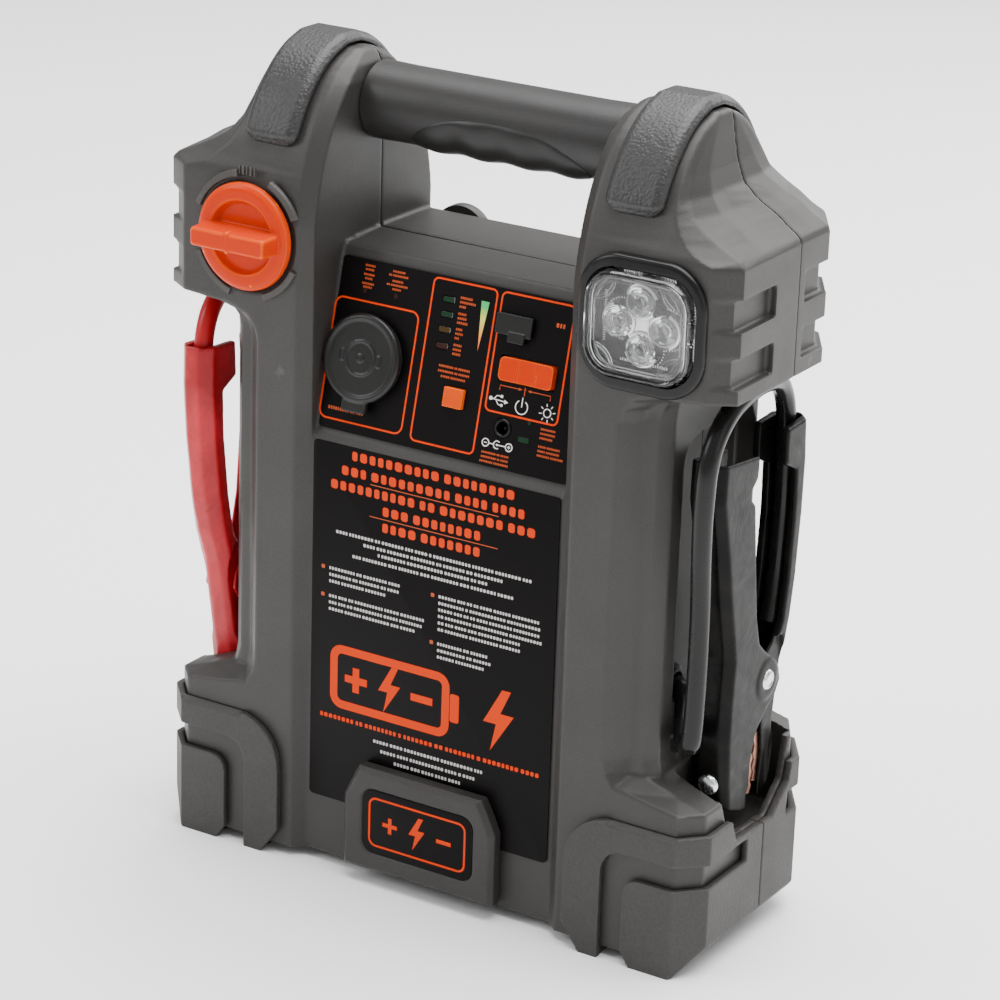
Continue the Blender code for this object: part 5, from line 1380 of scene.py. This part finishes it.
ru, rv = ROCK_UV
RP = []
for i in range(25):
    a = -12.0 + i
    RP.append((a, 1.7 + 1.0 * (abs(a) / 12.0) ** 1.6))
rock_prof = [(-12.0, -2.2), (12.0, -2.2)] + list(reversed(RP))
rocker = loft("vis_mode_rocker", [[on_panel(ru + a, rv + w, n) for a, n in rock_prof] for w in (-4.7, 4.7)])
keep(rocker, panel_prism("corner", round_rect(ru, rv, 24.0, 9.4, 1.9, 6), -4, 6))
for k in (-1, 1):
    cut(rocker, panel_prism("line", rounded(ru + k * 4.2 - 0.25, ru + k * 4.2 + 0.25, rv - 6, rv + 6, 0.1, 1), 1.62, 4))
soften(rocker, 0.2, 2, 90000)
finish(rocker, ORANGE_M, "mode_rocker", "mode_rocker", slot="knob_orange")

bu, bv = BTN_UV
button = bevelled(panel_prism("vis_check_button", round_rect(bu, bv, 8.8, 7.8, 0.5, 4), -3.0, 2.6), 0.4, 4)
finish(button, ORANGE_M, "battery_check_button", "battery_check_button", slot="knob_orange", angle=40)
pipe = panel_prism("vis_light_pipe", [(-9.6, 40), (-3.4, 40), (-3.4, 64.4), (-9.6, 64.4)], -7.6, -4.2)
for v in BARS_V:
    join(pipe, panel_prism("bar", round_rect(-6.5, v, 5.0, 2.0, 0.3, 3), -4.6, 1.0))
finish(pipe, FROST_M, "housing", "level_light_pipe", slot="white_plastic", angle=35)
jack = panel_revolve("vis_dc_jack", [(0, -12.2), (5.0, -12.2), (5.0, -4.6), (3.7, -4.6), (3.7, 1.0), (3.5, 1.2), (2.8, 1.2), (2.6, 1.0), (2.6, -9.0),
                                     (0.8, -9.0), (0.8, -1.7), (0.5, -1.3), (0, -1.2)], JACK_UV[0], JACK_UV[1], 64)
finish(jack, BLACK_SMOOTH, "housing", "dc_jack", slot="black_trim", angle=40)

# --------------------------------------------------------------------- rear
gx, gz = GAUGE_XZ
gb = revolve("vis_gauge_body", [(0, -12), (7.4, -12), (7.4, 0.4), (12.9, 0.4), (13.2, 0.8), (13.2, 4.6), (12.9, 5.2), (12.4, 5.5), (11.9, 5.4), (11.7, 5.0), (11.7, 2.2), (0, 2.2)],
             (gx, BODY_REAR, gz), (0, 1, 0), 128)
finish(gb, HOUSING, "housing", "gauge_body", slot="black_trim", angle=40)


def on_gauge(u, v, n):
    return (gx - u, BODY_REAR + 2.2 + n, gz + v)


Ink(on_gauge, 0.0, 0.08).poly(circle(0, 0, 11.3, 72)).build("vis_gauge_dial", INK_WHITE)
gm = Ink(on_gauge, 0.08, 0.06)
for k in range(28):
    t = math.radians(225 - k * 10)
    r0 = 8.6 if k % 3 == 0 else 9.4
    gm.strip([(r0 * math.cos(t), r0 * math.sin(t)), (10.6 * math.cos(t), 10.6 * math.sin(t))], 0.34 if k % 3 else 0.55)
gm.strip([(7.6 * math.cos(math.radians(225 - a)), 7.6 * math.sin(math.radians(225 - a))) for a in range(0, 271, 9)], 0.25)
gm.poly(circle(0, 0, 1.7, 24))
gm.build("vis_gauge_marks", LABEL_M)
glens = revolve("vis_gauge_lens", [(0, 3.6), (11.4, 3.6), (11.4, 4.4), (11.0, 4.8), (9, 5.15), (5, 5.35), (0, 5.4)], (gx, BODY_REAR, gz), (0, 1, 0), 96)
finish(glens, CLEAR_M, "housing", "gauge_lens", slot="lens", angle=40)
sxx, sz = SWITCH_XZ
sp_ = [(-5.9, 1.5), (-5.9, 3.2), (-4.0, 2.5), (0, 2.0), (4.0, 2.5), (5.9, 3.2), (5.9, 1.5), (4, -2.6), (-4, -2.6)]
sw = loft("vis_compressor_switch", [[(sxx + w, BODY_REAR + n, sz + a) for a, n in sp_] for w in (-9.9, 9.9)])
soften(sw, 0.25, 2, 50000)
finish(sw, ORANGE_M, "compressor_switch", "compressor_switch", slot="knob_orange")
hose = revolve("vis_hose_outlet", [(0, -9), (5.0, -9), (5.0, 0.4), (7.7, 0.4), (8, 0.7), (8, 3.1), (7.7, 3.4), (5.3, 3.4), (5, 3.7), (5, 5.3), (4.7, 5.6), (2.8, 5.6), (2.5, 5.3), (2.5, -7), (0, -7)],
               (40, BODY_REAR, 205), (0, 1, 0), 64)
finish(hose, BRASS_M, "housing", "hose_outlet", slot="brass", angle=35)


def on_back(u, v, n):
    return (-u, BODY_REAR + n, v)


backl = bevelled(prism("vis_back_label", round_rect(0, 97, 86, 58, 2.5, 6), "y", BODY_REAR + 0.05, BODY_REAR + 0.45), 0.12, 2)
finish(backl, LABEL_M, "housing", slot="label", angle=30)
bk = Ink(on_back, 0.45)
bk.strip(rounded(-40.5, 40.5, 70.5, 123.5, 1.6), 0.4, True)
for i in range(11):
    bk.letters(-37, 112.5 - i * 3.4, 1.3, (7, 4, 9, 3, 8, 6)[: 4 + i % 3])
bk.letters(-37, 118.4, 2.6, (6, 5, 7))
bk.build("vis_back_print", INK_GREY)
for k, (x, z) in enumerate(((-50, 30), (50, 30), (-50, 130), (50, 130), (-78, 66), (78, 66), (-78, 232), (78, 232))):
    y0 = (BODY_REAR if abs(x) < 60 else 45.9) - 8.9
    sc = revolve("vis_case_screw_%d" % k, [(0, 0), (2.9, 0), (2.9, 0.9), (2.4, 1.5), (1.4, 1.9), (0, 2.0)], (x, y0, z), (0, 1, 0), 32)
    cut(sc, box("x1", (x - 1.9, y0 + 0.9, z - 0.35), (x + 1.9, y0 + 4, z + 0.35)), box("x2", (x - 0.35, y0 + 0.9, z - 1.9), (x + 0.35, y0 + 4, z + 1.9)))
    finish(sc, ZINC, "housing", slot="steel", angle=35)

# ------------------------------------------------------------------- clamps


def in_place(ob, m):
    ob.data.transform(m)
    return ob


def clamp(prefix, side, vinyl_mat, cab):
    m = stowed(side)
    x0, x1 = CLAMP_X
    free = prism("vis_" + prefix + "_jaw", FREE_HALF, "x", x0, x1)
    cav = [(-28, 215), (-28.9, 191), (-23.2, 169), (-19.0, 148), (-15.6, 135), (-13.4, 123.6), (-14.2, 107), (-14.6, 90),
           (-13.2, 72), (-11.5, 58), (-9, 50), (40, 50), (40, 215)]
    cut(free, prism("c", cav, "x", x0 + 1.7, x1 - 1.7))
    cut(free, box("c", (x0 - 1, -20, 84), (x0 + 3.6, -12.2, 114)))
    FB = [(50, -12.6), (60.3, -14.3), (71, -16.2), (90, -17.6), (107, -17.2), (123.6, -16.2), (134.9, -18.6), (148.6, -22.0), (169.5, -26.3),
          (192, -31.9), (212, -31.2)]
    for xa, xb in ((x1 + 1, x1 - 3.4), (x0 - 1, x0 + 3.4)):
        cut(free, loft("c", [[(xa, y + 4.0, z), (xa, y - 2, z), (xb, y - 2, z), (xb, y + 0.05, z)] for z, y in FB]))
    join(free, revolve("ear", [(3.2, 0), (9.2, 0), (8.2, 0.55), (5.4, 0.75), (3.2, 0.55)], (x1 - 0.1, PIVOT_YZ[0] + 0.3, PIVOT_YZ[1]), (1, 0, 0), 48))
    held = prism("vis_" + prefix + "_handle", CABLE_HALF, "x", x0, x1)
    for a, b in ((x0 - 1, x0 + 2.0), (x1 - 2.0, x1 + 1)):
        cut(held, prism("c", [(-10, 50), (20.5, 50), (21.5, 74), (27.4, 92), (27.5, 116), (25.4, 122), (10, 122), (-10, 122)], "x", a, b))
    cav2 = [(15, 215), (37.4, 215), (38.9, 193.4), (38.5, 171), (36.1, 144.8), (32.4, 127.8), (28.2, 115), (24.6, 92),
            (21.4, 64), (18.5, 50), (0, 50), (0, 215)]
    cut(held, prism("c", cav2, "x", x0 + 3.4, x1 - 3.4))
    BACK = [(48, 21.0), (62.2, 23.6), (92, 27.0), (115, 30.4), (127.8, 34.6), (144.8, 38.2), (171, 40.6), (193.4, 41.0), (212, 39.4)]
    for xa, xb in ((x1 + 1, x1 - 4.6), (x0 - 1, x0 + 4.6)):
        cut(held, loft("c", [[(xa, y - 3.0 - 3.2 * min(1, max(0, (z - 100) / 50)), z), (xa, y + 2, z), (xb, y + 2, z), (xb, y - 0.05, z)]
                             for z, y in BACK]))
    for o in (free, held):
        cut(o, revolve("pin", [(0, -20), (2.3, -20), (2.3, 20), (0, 20)], ((x0 + x1) / 2, PIVOT_YZ[0], PIVOT_YZ[1]), (1, 0, 0), 32))
    cut(free, revolve("c", [(0, -1), (2.3, -1), (2.3, 8), (0, 8)], ((x0 + x1) / 2 + 0.6, -11.8, 71), (0, -1, 0), 32))
    for o in (free, held):
        soften(o, 0.42, 24, 130000)
    hx = (x1 - x0) / 2
    c0 = ((x0 + x1) / 2, PIVOT_YZ[0], PIVOT_YZ[1])
    rivet = revolve("vis_" + prefix + "_rivet", [(0, -hx - 2.0), (1.6, -hx - 1.95), (2.8, -hx - 1.7), (3.7, -hx - 1.2), (4.2, -hx - 0.4), (2.0, -hx - 0.3),
                                                 (2.0, hx + 0.3), (4.2, hx + 0.4), (3.7, hx + 1.2), (2.8, hx + 1.6), (2.2, hx + 1.2), (1.2, hx + 1.1), (0, hx + 1.1)],
                    c0, (1, 0, 0), 48)
    spring = bpy.data.curves.new("vis_" + prefix + "_spring", "CURVE")
    spring.dimensions = "3D"
    turns, n = 4.0, 128
    spl = spring.splines.new("POLY")
    spl.points.add(n - 1)
    for i in range(n):
        t = 2 * math.pi * turns * i / (n - 1)
        p = m @ Vector((c0[0] - 3.2 + 6.4 * i / (n - 1), c0[1] + 3.75 * math.cos(t), c0[2] + 3.75 * math.sin(t)))
        spl.points[i].co = (p.x * MM, (p.y + Y_SHIFT) * MM, p.z * MM, 1)
    spring.bevel_depth = 0.65 * MM
    spring.bevel_resolution = 4
    spring.use_fill_caps = True
    spring.materials.append(STEEL_M)
    so = bpy.data.objects.new("vis_" + prefix + "_spring", spring)
    bpy.context.scene.collection.objects.link(so)
    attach(so, "housing")
    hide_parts(prefix + "_clamp_spring")
    jr = revolve("vis_" + prefix + "_jaw_rivet", [(0, 0), (2.0, 0), (2.0, 5.0), (4.4, 5.0), (4.35, 5.5), (4.0, 6.3), (3.2, 7.1), (2.0, 7.65), (0, 7.9)],
                 ((x0 + x1) / 2 + 0.6, -11.8, 71), (0, -1, 0), 64)
    for o in (free, held, rivet, jr):
        in_place(o, m)
    body = prefix + "_clamp_jaw"
    finish(free, vinyl_mat, body, prefix + "_clamp_jaw", slot=prefix + "_vinyl")
    finish(held, vinyl_mat, "housing", prefix + "_clamp_handle", slot=prefix + "_vinyl")
    finish(rivet, ZINC, "housing", prefix + "_clamp_rivet", slot="steel", angle=42)
    finish(jr, ZINC, body, prefix + "_jaw_rivet", slot="steel", angle=42)


clamp("black", 1, BLACK_VINYL, CABLE_BLACK)
clamp("red", -1, RED_VINYL, CABLE_RED)

# --------------------------------------------- nodes kept as they are, new finish
KEEP = {"black_jaw_plate_a": COPPER_M, "black_jaw_plate_b": COPPER_M, "red_jaw_plate_a": COPPER_M, "red_jaw_plate_b": COPPER_M,
        "black_cable_gland": TRIM, "red_cable_gland": TRIM, "rotary_switch": TRIM, "control_board": BOARD_M, "battery": CASE_M,
        "battery_terminal_negative": STEEL_M, "battery_terminal_positive": STEEL_M, "compressor_motor": STEEL_M, "compressor_pump": STEEL_M,
        "motor_pinion": BRASS_M, "crank_gear": WHITE_M, "gauge_needle": ORANGE_M}
for nm, mt in KEEP.items():
    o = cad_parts[nm]
    o.data.materials.clear()
    o.data.materials.append(mt)
missing = [n for n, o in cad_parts.items() if not o.hide_render and n not in KEEP]
print("CAD nodes showing without a finish:", missing)

# -------------------------------------------------------------------- stage
fl = new_object("floor", [(-4, -4, 0), (4, -4, 0), (4, 4, 0), (-4, 4, 0)], [(0, 1, 2, 3)], None, False)
fn = Nodes("floor")
fn.set(Base_Color=fn.mix(fn.noise(1.5, 2), (0.93, 0.93, 0.93), (0.95, 0.95, 0.95)), Roughness=0.65, Specular_IOR_Level=0.25)
fl.data.materials.append(fn.m)
world = bpy.data.worlds.new("studio")
bpy.context.scene.world = world
world.use_nodes = True
bg = world.node_tree.nodes["Background"]
bg.inputs[0].default_value = (1, 1, 1, 1)
bg.inputs[1].default_value = 0.66


def area(name, at, look, size, power, color=(1, 1, 1)):
    d = bpy.data.lights.new(name, "AREA")
    d.shape = "RECTANGLE"
    d.size, d.size_y = size
    d.energy = power
    d.color = color
    o = bpy.data.objects.new(name, d)
    bpy.context.scene.collection.objects.link(o)
    o.location = at
    o.rotation_euler = (Vector(look) - Vector(at)).to_track_quat("-Z", "Y").to_euler()
    return o


T = (0, 0, 0.17)
area("top", (0.15, 0.35, 2.1), T, (2.6, 2.2), 150)
area("key", (-1.5, -1.3, 1.3), T, (0.7, 1.0), 18)
area("side", (1.9, -0.25, 0.85), T, (0.7, 1.3), 5)
area("rim", (0.4, 1.6, 0.9), T, (1.4, 0.9), 18)
